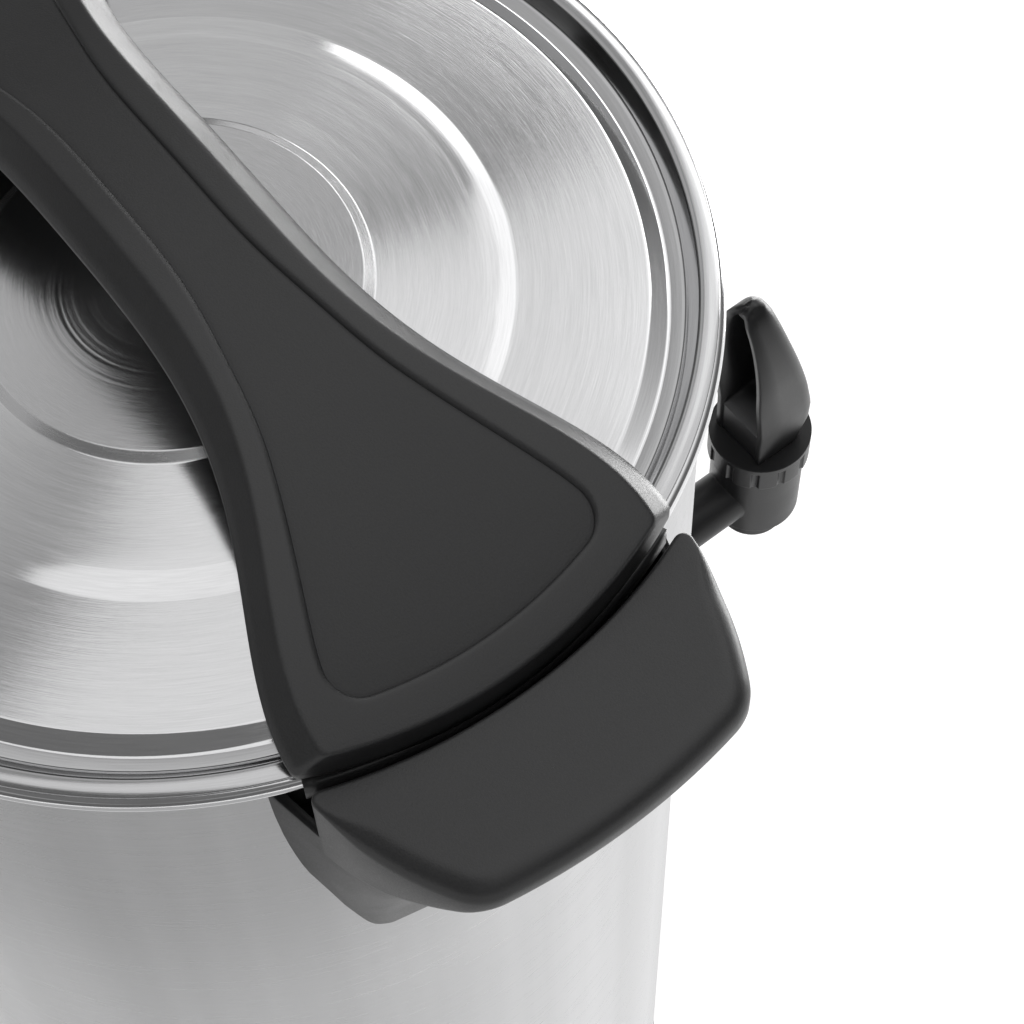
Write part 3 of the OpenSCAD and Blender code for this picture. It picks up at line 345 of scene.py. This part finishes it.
def spin(name, profile, closed, body, finish, stands_for=(), around=288):
    """Turns a profile of (radius, height) in millimetres about the Z axis."""
    points, faces, count = [], [], len(profile)
    for i in range(around):
        a = 2 * math.pi * i / around
        points += [(r * mm * math.cos(a), r * mm * math.sin(a), z * mm) for r, z in profile]
    for i in range(around):
        j = (i + 1) % around
        for k in range(count if closed else count - 1):
            m = (k + 1) % count
            faces.append((i * count + k, j * count + k, j * count + m, i * count + m))
    return make_piece(name, points, faces, body, finish, stands_for)


def wrap(name, rings, body, finish, stands_for=(), flip=False):
    """Joins closed rings of equal length into one skin, in the order given."""
    count = len(rings[0])
    points = [tuple(Vector(p) * mm) for ring in rings for p in ring]
    faces = []
    for i in range(len(rings) - 1):
        for j in range(count):
            k = (j + 1) % count
            face = (i * count + j, i * count + k, (i + 1) * count + k, (i + 1) * count + j)
            faces.append(face[::-1] if flip else face)
    return make_piece(name, points, faces, body, finish, stands_for)


def closed(rings):
    """The same rings with a point before the first and one after the last, so that the skin has no open end."""
    ends = []
    for ring in (rings[0], rings[-1]):
        middle = sum((Vector(p) for p in ring), Vector()) / len(ring)
        ends.append([tuple(middle)] * len(ring))
    return [ends[0], *rings, ends[1]]


print("mesh makers ready")

# %% [markdown]
# The lid is spun from one steel disc: a shallow dish, a polished crease, a brushed slope, a polished groove that
# drops inside the rim, and a flange that lies over the bead.
# It could be modelled by hand, but a spun piece is best spun: the profile follows the CAD section with soft
# bends, and each band of faces gets the finish that the lathe left on it. The dish's outer slope is also painted
# a lighter grey: a painted highlight for the bright band that it reflects.

# %% Spun lid
lid_line = [(0, 6.15), (42.2, 5.8), (44.6, 4.65), (69.1, 2.9), (74.9, 2.0), (103.6, 0.0), (107.8, -1.9),
            (111.3, -1.5), (114.4, 3.0), (118.3, 3.0)]
lid_bends = [0.3, 0.35, 5.0, 0.4, 0.5, 0.6, 0.8, 0.8]
lid_sheet = 0.6
lid_top = [(r, rim_z + z) for r, z in soften(lid_line, lid_bends)]
lid_edge = [(118.5, rim_z + 2.85), (118.5, rim_z + 2.55), (118.3, rim_z + 2.4)]
lid_low = [(max(r - 0.1, 0), z - lid_sheet) for r, z in reversed(lid_top[:-1])]
lid_profile = lid_top + lid_edge + lid_low
lid_skin = spin("lid_skin", lid_profile, False, "lid", lid_brushed, ("lid_shell",))
for finish in lid_steels[1:]:
    lid_skin.data.materials.append(finish)
# from 44.6 to 68.2 mm the dish's slope takes the steel with the painted highlight
lid_bands = [(42.2, lid_turned), (44.6, lid_step), (68.2, lid_slope_lit), (75.6, lid_polished), (103.4, lid_brushed),
             (113.6, lid_polished), (200.0, lid_flange)]
for face in lid_skin.data.polygons:
    radius = math.hypot(face.center.x, face.center.y) / mm
    face.material_index = lid_steels.index(next(finish for outer, finish in lid_bands if radius < outer))
used = [face.material_index for face in lid_skin.data.polygons]
print("faces in each finish:", [used.count(k) for k in range(len(lid_steels))])

# %% [markdown]
# The wall is rolled sheet, brushed round and round, and its top edge is curled outward into a hollow bead.
# The bead is polished and the wall isn't, so they are spun as two pieces, with the curl's own seam between them.

# %% Wall and rim bead
wall_in, wall_low = 115.2, 26.1
wall_line = [(wall_in, wall_low), (wall_r, wall_low), (wall_r, rim_z - 1.0), (115.75, rim_z - 0.1),
             (115.45, rim_z - 0.1), (wall_in, rim_z - 1.0)]
spin("wall_skin", wall_line, True, "vessel", wall_brushed, ("tank_wall", "skirt_wall"))
bead_c, bead_r = 117.9, 2.1
bead_line = [(115.3, rim_z - 0.4), (115.35, rim_z + 0.4)]
for i in range(33):
    a = math.radians(160 - i * 10)
    bead_line.append((bead_c + bead_r * math.cos(a), rim_z + bead_r * math.sin(a)))
spin("rim_bead", bead_line, True, "vessel", bead_polished)

# %% [markdown]
# The bow is the piece that takes the most skill: it arches along its length, flares from a hand-wide waist to
# ends as wide as the ears, and carries a sunk panel with soft corners inside a border.
# Cutting the panel out of a solid would leave ragged edges. So the bow is wrapped in rings: each is its outline
# drawn in by some distance at the sides and at the ends, and border, step and panel follow the flare.

# %% Bow outline
bow_r, waist, end_w = 122.0, 19.5, 47.0
bow_top, bow_arch = 575.5, 33.5
flare = 1.85
broad_from, broad_over, broader = 66, 30, 1.6
slim_at, slim_over, slimmer = 46, 17, 1.3
sway_starts, sway_full = 6.6, 11.0
side_steps, corner_steps, end_steps = 48, 8, 16
arch_r = (bow_r ** 2 + bow_arch ** 2) / (2 * bow_arch)


def arch(x):
    """Height of the bow's top line."""
    return bow_top - arch_r + math.sqrt(arch_r ** 2 - x * x)


def bow_half(x):
    """Half width of the bow's lower edge."""
    share = min(abs(x) / math.sqrt(bow_r ** 2 - end_w ** 2), 1.0) ** flare
    return waist + (end_w - waist) * (1 - math.cos(math.pi * share)) / 2


def border_sway(x):
    """What the border is wider than even, in millimetres: slimmer beside the waist and broader at the ends."""
    share = min(max((abs(x) - broad_from) / broad_over, 0.0), 1.0)
    slim = math.exp(-((abs(x) - slim_at) / slim_over) ** 2)
    return broader * share * share * (3 - 2 * share) - slimmer * slim


def bow_ring(side_in, end_in, corner, drop):
    """One closed ring: the outline drawn in, with round corners, at a drop below the arch."""
    inner = min(max((side_in - sway_starts) / (sway_full - sway_starts), 0.0), 1.0)

    def edge(x):
        """Half width of this ring."""
        return bow_half(x) - side_in - inner * border_sway(x)

    end_r = bow_r - end_in
    x0 = 105.0
    for _ in range(40):  # moves x0 to where the round corner leaves the side
        slope = (edge(x0 + 0.05) - edge(x0 - 0.05)) / 0.1
        lean = math.pi / 2 + math.atan(slope)
        cy = edge(x0) - corner * math.sin(lean)
        cx = math.sqrt((end_r - corner) ** 2 - cy * cy)
        x0 = 0.5 * x0 + 0.5 * (cx + corner * math.cos(lean))
    last = math.atan2(cy, cx)
    quarter = [(x0 * i / side_steps, edge(x0 * i / side_steps)) for i in range(side_steps)]
    for i in range(corner_steps):
        a = lean + (last - lean) * i / corner_steps
        quarter.append((cx + corner * math.cos(a), cy + corner * math.sin(a)))
    for i in range(end_steps + 1):
        a = last * (1 - i / end_steps)
        quarter.append((end_r * math.cos(a), end_r * math.sin(a)))
    half = quarter + [(x, -y) for x, y in quarter[-2::-1]]
    loop = half + [(-x, y) for x, y in half[-2:0:-1]]
    return [(x, y, arch(x) + drop) for x, y in loop]


def to_middle(ring, share, drop, reach=88):
    """A ring drawn towards the bow's middle line, which ends at reach."""
    moved = [(x + (max(-reach, min(reach, x)) - x) * share, y * (1 - share)) for x, y, _ in ring]
    return [(x, y, arch(x) + drop) for x, y in moved]


print("bow ends at", bow_r, "mm, crown radius", round(arch_r, 1), "mm")

# %% [markdown]
# The bow's skin is one section written as rows: how far it is drawn in at the sides and at the ends, the radius of
# its corners, and its drop below the arch. It starts under the bow, goes up the side and the long bevel, over the
# border, and down the soft step round the panel.
# A bevel modifier would round every edge alike; rows let the outer edge stay crisp and the step stay soft.

# %% Bow skin
bow_section = [(0.5, 0.4, 2.0, -8.60), (0.12, 0.1, 2.0, -8.48), (0.0, 0.0, 2.0, -8.2), (0.0, 0.0, 2.0, -6.5),
               (0.15, 0.0, 2.0, -6.15), (1.9, 0.0, 2.0, -4.3), (3.7, 0.0, 2.0, -2.42), (5.4, 0.0, 2.0, -0.66),
               (5.7, 0.05, 2.0, -0.36), (6.05, 0.15, 2.0, -0.14), (6.45, 0.35, 2.0, -0.03),
               (7.0, 0.7, 2.1, 0.0), (8.6, 2.4, 3.4, 0.0), (10.0, 4.6, 5.4, 0.0)]
step_side, step_end, step_corner = 10.7, 6.6, 7.9
recess = [(0.0, 0.0), (0.35, -0.03), (0.7, -0.13), (1.0, -0.28), (1.25, -0.48), (1.42, -0.75), (1.5, -1.1)]
bow_section += [(step_side + draw, step_end + draw, step_corner - 0.8 * draw, drop) for draw, drop in recess]
bow_rings = [bow_ring(*row) for row in bow_section]
lowest = bow_section[0][-1]
bow_under = [to_middle(bow_rings[0], share, lowest) for share in (1.0, 0.66, 0.33)]
wrap("bow_skin", bow_under + bow_rings, "lid", bow_black, ("bow_handle",))

# %% [markdown]
# The panel is a second moulding let into the bow, with a coarser grain. It could be a flat cut-out, but the same
# rings give it the bow's flare and arch, and a slightly turned-down edge shows where the two mouldings meet.

# %% Sunk panel
panel_section = [(12.2, 8.1, 6.7, -1.1), (12.35, 8.25, 6.6, -1.12), (12.6, 8.5, 6.4, -1.05),
                 (13.0, 8.9, 6.1, -1.0)]
panel_drop = panel_section[-1][-1]
panel_rings = [bow_ring(*row) for row in panel_section]
panel_middle = [to_middle(panel_rings[-1], share, panel_drop) for share in (0.2, 0.4, 0.6, 0.8, 1.0)]
wrap("bow_panel", panel_rings + panel_middle, "lid", inlay_black, ("bow_inlay",))

# %% [markdown]
# At each end the bow hangs a thin lip outside the bead, so that the black end seems to reach down to the rim.
# It could be part of the bow's section, but only the ends have it. So it is a short strip of its own, wrapped
# along the end's arc with a rounded lower edge.

# %% Bow end lips
lip_half = 45.6


def lip_rings(side):
    """Rings of the lip's section, from one corner of the bow to the other."""
    section = [(120.4, 4.5), (120.4, -1.3), (120.6, -1.8), (121.1, -2.0), (121.6, -1.8), (121.9, -1.3),
               (121.95, 4.5)]
    spread = math.asin(lip_half / bow_r)
    rings = []
    for i in range(2 * end_steps + 1):
        a = spread * (i / end_steps - 1)
        rings.append([(side * r * math.cos(a), side * r * math.sin(a), rim_z + z) for r, z in section])
    return rings


for side, word in ((-1, "left"), (1, "right")):
    wrap("bow_lip_" + word, closed(lip_rings(side)), "lid", bow_black)

# %% [markdown]
# Each ear is a grip for four fingers: flat on top, rolled over at its outer edges, crisp along the slot that
# parts it from the bow, and sloping underneath.
# One bevel would round all its edges alike, so it is wrapped in rings as well, and each point of the outline has
# a rounding of its own.

# %% Ear outline
ear_in, ear_out, ear_top, ear_roll = 125.0, 158.0, 9.0, 5.0
side_lean = math.radians(31)
corner_r, corner_side = 12.0, 36.5
corner_y = corner_side - corner_r * math.cos(side_lean)
corner_x = math.sqrt((ear_out - corner_r) ** 2 - corner_y ** 2)
tip_y = 47.5
tip_x = math.sqrt(ear_in ** 2 - tip_y ** 2)
side_end = (corner_x + corner_r * math.sin(side_lean), corner_y + corner_r * math.cos(side_lean))
bend = side_lean - math.atan2(tip_y - side_end[1], side_end[0] - tip_x)
side_r = math.hypot(side_end[0] - tip_x, side_end[1] - tip_y) / (2 * math.sin(bend))
side_mid = (side_end[0] - side_r * math.sin(side_lean), side_end[1] - side_r * math.cos(side_lean))
tip_r, slot_round = 2.2, 1.0
ear_mid, ear_reach = (ear_in + ear_out) / 2, (ear_out - ear_in) / 2
under_in, under_mid, under_out = -18.5, -12.42, 0.5


def tip_centre():
    """Centre of the small round at the tip, which touches the inner arc and the side arc from inside."""
    far, reach_in, reach_side = math.hypot(*side_mid), ear_in + tip_r, side_r - tip_r
    along = (reach_in ** 2 - reach_side ** 2 + far ** 2) / (2 * far)
    off = math.sqrt(reach_in ** 2 - along ** 2)
    ux, uy = side_mid[0] / far, side_mid[1] / far
    return max(((along * ux - s * off * uy, along * uy + s * off * ux) for s in (1, -1)), key=lambda c: c[1])


def ear_outline():
    """Points of the grip's outline as (x, y, outward x, outward y, rounding)."""
    half = []
    cx, cy = tip_centre()
    tip = math.atan2(cy, cx)
    for i in range(14):
        a = tip * i / 14
        half.append((ear_in * math.cos(a), ear_in * math.sin(a), -math.cos(a), -math.sin(a), slot_round))
    side_start = math.atan2(cx - side_mid[0], cy - side_mid[1])
    first, last = tip + math.pi, math.pi / 2 - side_start
    for i in range(11):
        a = first + (last - first) * i / 10
        half.append((cx + tip_r * math.cos(a), cy + tip_r * math.sin(a), math.cos(a), math.sin(a), slot_round))
    for i in range(1, 25):
        a = side_start + (side_lean - side_start) * i / 24
        rounding = slot_round + (ear_roll - slot_round) * (1 - math.cos(math.pi * min(1.0, i / 11))) / 2
        half.append((side_mid[0] + side_r * math.sin(a), side_mid[1] + side_r * math.cos(a),
                     math.sin(a), math.cos(a), rounding))
    last = math.pi / 2 - math.atan2(corner_y, corner_x)
    for i in range(1, 13):
        a = side_lean + (last - side_lean) * i / 12
        half.append((corner_x + corner_r * math.sin(a), corner_y + corner_r * math.cos(a),
                     math.sin(a), math.cos(a), ear_roll))
    for i in range(1, 13):
        a = (math.pi / 2 - last) * (1 - i / 12)
        half.append((ear_out * math.cos(a), ear_out * math.sin(a), math.cos(a), math.sin(a), ear_roll))
    return half + [(x, -y, nx, -ny, rounding) for x, y, nx, ny, rounding in half[-2:0:-1]]


def ear_under(x, y):
    """Height of the sloping underside above the bead's centre."""
    r = math.hypot(x, y)
    if r < ear_mid:
        return under_in + (r - ear_in) / ear_reach * (under_mid - under_in)
    return under_mid + (r - ear_mid) / ear_reach * (under_out - under_mid)


def ear_ring(inward, height):
    """One ring: inward and height are called with each point's rounding."""
    ring = []
    for x, y, nx, ny, rounding in ear_outline():
        d = inward(rounding)
        px, py = x - nx * d, y - ny * d
        z = height(rounding, px, py)
        ring.append((px, py, z))
    return ring


print("ear side radius:", round(side_r, 1), "mm, outline points:", len(ear_outline()))

# %% [markdown]
# The rings of an ear start on an arc along the middle of its top, spread to the outline, roll over the edge, go down
# the side, and draw together again on the same arc underneath. The arc keeps the faces even, where one middle point
# would pinch them. The two ears are one shape turned half way round, as one mould makes both.

# %% Ear skins
spine_turn, low_round = 0.23, 1.4


def to_spine(x, y, share):
    """A point of the ear drawn towards the arc that runs along its middle."""
    a = max(-spine_turn, min(spine_turn, math.atan2(y, x)))
    return x + (ear_mid * math.cos(a) - x) * share, y + (ear_mid * math.sin(a) - y) * share


def ear_rings():
    """All rings of the right ear, from the middle of its top to the middle of its underside."""
    flat = ear_ring(lambda q: q, lambda q, x, y: ear_top)
    top = [[(*to_spine(x, y, share), z) for x, y, z in flat] for share in (1.0, 0.75, 0.5, 0.25)]
    roll_over = []
    for i in range(9):
        a = math.pi / 2 * (1 - i / 8)
        roll_over.append(ear_ring(lambda q, a=a: q * (1 - math.cos(a)),
                                  lambda q, x, y, a=a: ear_top - q + q * math.sin(a)))
    low = [ear_ring(lambda q, d=d: d, lambda q, x, y, h=h: ear_under(x, y) + h)
           for d, h in ((0.0, low_round), (0.15, 0.6), (0.6, 0.15), (low_round, 0.0))]
    base = []
    for share in (0.25, 0.5, 0.75, 1.0):
        moved = [to_spine(x, y, share) for x, y, _ in ear_ring(lambda q: low_round, lambda q, x, y: 0.0)]
        base.append([(x, y, ear_under(x, y)) for x, y in moved])
    return [[(x, y, rim_z + z) for x, y, z in ring] for ring in top + roll_over + low + base]


right_rings = ear_rings()
left_rings = [[(-x, -y, z) for x, y, z in ring] for ring in right_rings]
wrap("ear_skin_right", right_rings, "vessel", ear_black, ("ear_grip_right",))
wrap("ear_skin_left", left_rings, "vessel", ear_black, ("ear_grip_left",))

# %% [markdown]
# Under each ear a moulded bracket runs down the wall: wide under the grip, tapering to a round-cornered foot,
# and open at the top, where the bow's end comes down.
# A loft between two outlines would miss its swell, so it is wrapped from its foot upward. Two tables give its half
# width on the wall and the reach of its front, and a ring stops at the grip's underside where it would run into it.

# %% Ear brackets
def between(h, table):
    """A value read off a table of (height, value) by straight lines."""
    for (h0, v0), (h1, v1) in zip(table, table[1:]):
        if h <= h1:
            return v0 + (v1 - v0) * max(0.0, (h - h0) / (h1 - h0))
    return table[-1][1]


bracket_side = [(-92.8, 28.0), (-92.2, 31.8), (-90.0, 35.3), (-86.8, 37.7), (-80.4, 39.9), (-66.5, 43.0),
                (-53.5, 46.0), (-45.6, 47.3), (-32.0, 48.8), (-18.0, 49.7), (-5.5, 50.0)]
bracket_front = [(-92.8, 116.5), (-92.2, 117.8), (-90.0, 119.3), (-84.0, 121.0), (-70.0, 124.0), (-55.0, 128.5),
                 (-40.0, 134.0), (-28.0, 139.5), (-18.0, 144.0), (-5.5, 146.0)]


on_wall = wall_r + 0.05
grip_gap, grip_touch = 0.4, 0.25


def bracket_ring(z, inward=0.0):
    """The bracket's outline at one height above the bead's centre, drawn in by a wall's thickness if asked."""
    side, front = between(z, bracket_side) - inward, between(z, bracket_front) - inward
    corner = max(side - 0.30 * (front - wall_r), side * 0.5)
    turn_in = math.asin(corner / front)
    half = [(math.sqrt(on_wall ** 2 - side ** 2), side), (front * math.cos(turn_in), corner),
            (front * math.cos(turn_in / 2), front * math.sin(turn_in / 2))]
    line = half + [(front, 0.0)] + [(x, -y) for x, y in reversed(half)]
    bend = min(11.0, 0.8 * (front - wall_r))
    loop = soften(line, [bend, 6, 6, 6, bend])
    foot = math.asin(side / on_wall)
    for i in range(1, 8):
        a = foot * (i / 4 - 1)
        loop.append((on_wall * math.cos(a), on_wall * math.sin(a)))
    ring = []
    for x, y in loop:
        free = math.hypot(x, y) < ear_in - grip_gap
        ring.append((x, y, z if free else min(z, ear_under(x, y) - grip_touch)))
    return ring


outer_heights = [-92.8, -92.5, -92.2, -91.2, -90, -88, -86, -83, -78, -72, -66, -60, -54, -48, -42, -36, -30, -25,
                 -20, -15, -10, -6.2]
pocket_z = -24.0
pocket = [(-5.7, 0.2), (-5.5, 0.7), (-5.5, 1.8), (-6.0, 2.4), (-14, 2.5), (pocket_z, 2.6)]
bracket_rings = [bracket_ring(z) for z in outer_heights] + [bracket_ring(z, inward) for z, inward in pocket]
bracket_rings.append([(122.0, 0.0, pocket_z)] * len(bracket_rings[0]))
for sign, word in ((1, "right"), (-1, "left")):
    placed = [[(sign * x, sign * y, rim_z + z) for x, y, z in ring] for ring in bracket_rings]
    wrap("bracket_skin_" + word, placed, "vessel", ear_black, ("ear_bracket_" + word,))

# %% [markdown]
# The tap's lever is a hollow paddle: a round-nosed front and two cheeks, open towards the urn.
# A solidify modifier would thicken a sheet evenly. Here each ring is the section at one height, out along the front
# and back along the hollow, so the hollow can fade out near the top.
# Below the belly it closes, because the pin sits there in solid plastic.

# %% Tap lever
lever_y, lever_z = -187.0, 276.3
lever_wall, nose_round, hollow_gap = 2.6, 5.0, 0.4
half_low, half_wide, wide_at, lever_height = 10.5, 11.5, 40, 80
lever_nose = [(0, 9.5), (3, 10.6), (9.5, 13.0), (16, 13.0), (30, 9.9), (60, 1.1), (75, -3.0), (79, -5.6),
              (80, -7.6)]
lever_back = [(0, -9.5), (16, -9.5), (36, -12.0), (75, -14.0), (79, -13.0), (80, -11.6)]
lever_hollow = [(0, 0.0), (14, 0.0), (17, 1.0), (74, 1.0), (77, 0.0), (80, 0.0)]


def lever_half(h):
    """Half width of the paddle, which rounds off to its top."""
    if h < wide_at:
        return half_low + (half_wide - half_low) * h / wide_at
    return half_wide * math.sqrt(max(0.02, 1 - ((h - wide_at) / (lever_height - wide_at)) ** 2))


def lever_ring(h):
    """The paddle's section at one height: round the outside, then back round the hollow."""
    nose, back, half = between(h, lever_nose), between(h, lever_back), lever_half(h)
    ring = []
    for wall, order in ((0.0, 1), (lever_wall, -1)):
        w = max(half - wall, hollow_gap)
        n = nose
        if wall:
            floor_of_hollow = back + hollow_gap
            n = floor_of_hollow + (nose - wall - floor_of_hollow) * between(h, lever_hollow)
        r = min(max(nose_round - wall, 1.0), w * 0.8, max(n - back, 0.3) * 0.8)
        path = [(back, -w), ((back + n - r) / 2, -w)]
        for i in range(9):
            a = math.pi / 16 * i
            path.append((n - r + r * math.sin(a), -w + r - r * math.cos(a)))
        path += [(o, -side) for o, side in reversed(path)]
        ring += path[::order]
    return [(side, lever_y - o, lever_z + h) for o, side in ring]


lever_heights = [0, 1.5, 5, 9.5, 13, 14, 15.5, 17, 20, 24, 28, 33, 38, 43, 48, 53, 58, 63, 67, 70, 72.5, 74,
                 75.5, 77, 78.2, 79, 79.6, 80]
lever_rings = closed([lever_ring(h) for h in lever_heights])
wrap("lever_skin", lever_rings, "lever", tap_black, ("tap_lever",))

# %% [markdown]
# Inside the tap a coil spring presses the valve onto its seat, and lifting the lever shortens it.
# The solid is a plain sleeve, so the coil is drawn here: rings of wire set along a helix that lies flat for most of
# a turn at each end. A curve with a bevel would do too, but rings need no conversion.
# Its top sits under the bonnet.

# %% Tap spring
spring_low, spring_high = (Vector(corner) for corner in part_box("tap_spring"))
spring_middle = (spring_low + spring_high) / 2
spring_length = spring_high.z - spring_low.z
wire = 0.8 * mm
coil_r = (spring_high.x - spring_low.x) / 2 - wire
coils, coil_steps, wire_sides = 5.5, 176, 10
flat_share, rise_share = 0.14, 0.72
wire_rings = []
for i in range(coil_steps + 1):
    share = i / coil_steps
    turn = 2 * math.pi * coils * share
    rise = min(max((share - flat_share) / rise_share, 0.0), 1.0)
    out = Vector((math.cos(turn), math.sin(turn), 0))
    centre = spring_middle + out * coil_r
    centre.z = spring_low.z + wire + (spring_length - 2 * wire) * rise
    ring = []
    for k in range(wire_sides):
        a = 2 * math.pi * k / wire_sides
        ring.append(tuple((centre + (out * math.cos(a) + Vector((0, 0, math.sin(a)))) * wire) / mm))
    wire_rings.append(ring)
spring_skin = wrap("spring_coil", closed(wire_rings), "vessel", zinc_screw, ("tap_spring",))
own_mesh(spring_skin)
print("spring length:", round(spring_length / mm, 2), "mm")

# %% [markdown]
# The floor is one pale sheet, and the world is white wherever the camera or a reflection looks at it.
# A white backdrop cut in afterwards would lose the shadow. So the floor glows a little towards the camera: it reads
# white, and still darkens where the urn shades it.

# %% Floor and world
def seen_directly(tree):
    """1 for rays from the camera, a reflection or through glass, and 0 for the light that falls on things."""
    path = add(tree, "ShaderNodeLightPath")
    seen = math_of(tree, "MAXIMUM", path.outputs["Is Camera Ray"], path.outputs["Is Glossy Ray"])
    return math_of(tree, "MAXIMUM", seen, path.outputs["Is Transmission Ray"])


floor_glow, floor_half, floor_drop, sky_light = 0.72, 6, 0.0005, 0.45
pale, tree, shader = new_finish("pale_floor", Roughness=0.9)
shader.inputs["Base Color"].default_value = (0.55, 0.55, 0.55, 1)
shader.inputs["Specular IOR Level"].default_value = 0.0
shader.inputs["Emission Color"].default_value = (1, 1, 1, 1)
tree.links.new(math_of(tree, "MULTIPLY", seen_directly(tree), floor_glow), shader.inputs["Emission Strength"])
mesh = bpy.data.meshes.new("floor")
mesh.from_pydata([(x * floor_half, y * floor_half, 0) for x, y in ((-1, -1), (1, -1), (1, 1), (-1, 1))], [],
                 [(0, 1, 2, 3)])
mesh.materials.append(pale)
floor = bpy.data.objects.new("floor", mesh)
bpy.context.scene.collection.objects.link(floor)
floor.location.z = -floor_drop

sky = bpy.data.worlds.new("studio")
bpy.context.scene.world = sky
sky.use_nodes = True
tree = sky.node_tree
background = tree.nodes["Background"]
background.inputs["Color"].default_value = (1, 1, 1, 1)
tree.links.new(ramp(tree, seen_directly(tree), 0.0, 1.0, sky_light, 1.0), background.inputs["Strength"])
print("floor and world ready")

# %% [markdown]
# The lamps give the plain light that falls on everything: a broad one overhead and a smaller one at the near side.
# Polished steel would mirror them as hard white squares, so they hide from reflections, and the cards of the next
# step are what the steel sees.

# %% Lamps
def soft_lamp(name, place, target, wide, high, glow):
    """An area lamp that looks at a point; glow is the brightness of its own face, where 1 is white."""
    data = bpy.data.lights.new(name, "AREA")
    data.shape = "RECTANGLE"
    data.size, data.size_y = wide, high
    data.energy = glow * math.pi * wide * high
    lamp = bpy.data.objects.new(name, data)
    bpy.context.scene.collection.objects.link(lamp)
    lamp.location = place
    lamp.rotation_euler = (Vector(target) - Vector(place)).to_track_quat("-Z", "Y").to_euler()
    lamp.visible_glossy = False
    print(name, "power", round(data.energy, 1), "W")


soft_lamp("overhead", (0.1, -0.2, 3.0), (0, 0, 0.5), 2.6, 2.6, 1.35)
soft_lamp("near_side", (-1.9, 1.1, 1.9), (0, 0, 0.4), 1.6, 1.0, 3.2)

# %% [markdown]
# Steel only shows what stands round it, so a photographer builds a room of cards: a grey scrim over the far half
# of the ceiling, a white strip of light at the right, dark cloth along the horizon and behind the camera, a low
# window at the right, and pale cards on the table: a near one for the wall, a bright one for the bow's far bevel.
# Reflections alone see these cards. They take no light off the urn, and they hide from every camera.

# %% Cards
def card(name, points, faces, along, low, high, glow_low, glow_high):
    """A card that only reflections see; its glow runs from one value to another in the direction along."""
    finish, tree, shader = new_finish(name, Roughness=1.0, Specular_IOR_Level=0.0)
    shader.inputs["Base Color"].default_value = (0, 0, 0, 1)
    shader.inputs["Emission Color"].default_value = (1, 1, 1, 1)
    place = add(tree, "ShaderNodeTexCoord").outputs["Object"]
    measure = add(tree, "ShaderNodeVectorMath", [(0, place), (1, along)], operation="DOT_PRODUCT")
    reach = measure.outputs["Value"]
    tree.links.new(ramp(tree, reach, low, high, glow_low, glow_high), shader.inputs["Emission Strength"])
    mesh = bpy.data.meshes.new(name)
    mesh.from_pydata(points, [], faces)
    mesh.materials.append(finish)
    made = bpy.data.objects.new(name, mesh)
    bpy.context.scene.collection.objects.link(made)
    made.visible_camera = made.visible_diffuse = made.visible_shadow = made.visible_transmission = False
    print(name, "glows from", glow_low, "to", glow_high)


ceiling, lower_ceiling, on_table = 2.03, 2.02, 0.0004
cloth_r, cloth_steps = 2.8, 40
across, upward = (1, 0, 0), (0, 0, 1)


def flat_card(name, corners, *glow, height=ceiling):
    """A level card at one height, from its corners seen from above."""
    card(name, [(x, y, height) for x, y in corners], [tuple(range(len(corners)))], *glow)


def round_card(name, first, last, low, high, *glow):
    """An upright card that runs round the urn, from one turn to another, in degrees."""
    turns = [math.radians(first + (last - first) * i / cloth_steps) for i in range(cloth_steps + 1)]
    points = [(cloth_r * math.cos(a), cloth_r * math.sin(a), z) for a in turns for z in (low, high)]
    card(name, points, [(2 * i, 2 * i + 2, 2 * i + 3, 2 * i + 1) for i in range(cloth_steps)], *glow)


scrim = [(0.86, -1.18), (1.66, -1.32), (2.6, -1.65), (2.6, 1.6), (0.131, 1.6)]
flat_card("far_scrim", scrim, (1, 0.293, 0), 0.60, 1.0, 0.36, 0.60)
strip = [(0.10, -0.76), (0.34, -0.80), (0.60, -1.06), (0.86, -1.20), (1.66, -1.34), (2.1, -2.2), (0.10, -2.2)]
flat_card("right_strip", strip, (0.46, -0.89, 0), 1.5, 2.2, 1.35, 3.4)
behind = [(-1.7, 0.15), (-0.05, 0.30), (0.55, 0.75), (0.55, 1.8), (-1.7, 1.8)]
flat_card("behind_camera", behind, across, 0, 1, 0.18, 0.18, height=lower_ceiling)
cloth_glow = (upward, 1.85, 3.33, 0.15, 0.75)
round_card("horizon_cloth", -35, 265, 0.30, 3.33, *cloth_glow)
round_card("upper_cloth", -95, -35, 1.22, 3.33, *cloth_glow)
round_card("low_window", -95, -58, 0.55, 1.20, upward, 0, 1, 3.2, 3.2)
near_table = [(-1.5, -0.4), (-0.1, -0.4), (0.9, 1.5), (-1.5, 1.5)]
flat_card("near_table", near_table, (-0.53, 0.85, 0), 0.09, 0.31, 1.16, 0.50, height=on_table)
right_table = [(-0.10, -0.80), (0.62, -0.62), (2.2, -1.6), (1.2, -2.5), (-0.40, -2.7)]
flat_card("right_table", right_table, across, 0, 1, 9.0, 9.0, height=on_table)

# %% [markdown]
# The colours are shown as they are written, so the view transform is Standard and nothing else is touched.

# %% Finish
bpy.context.scene.view_settings.view_transform = "Standard"
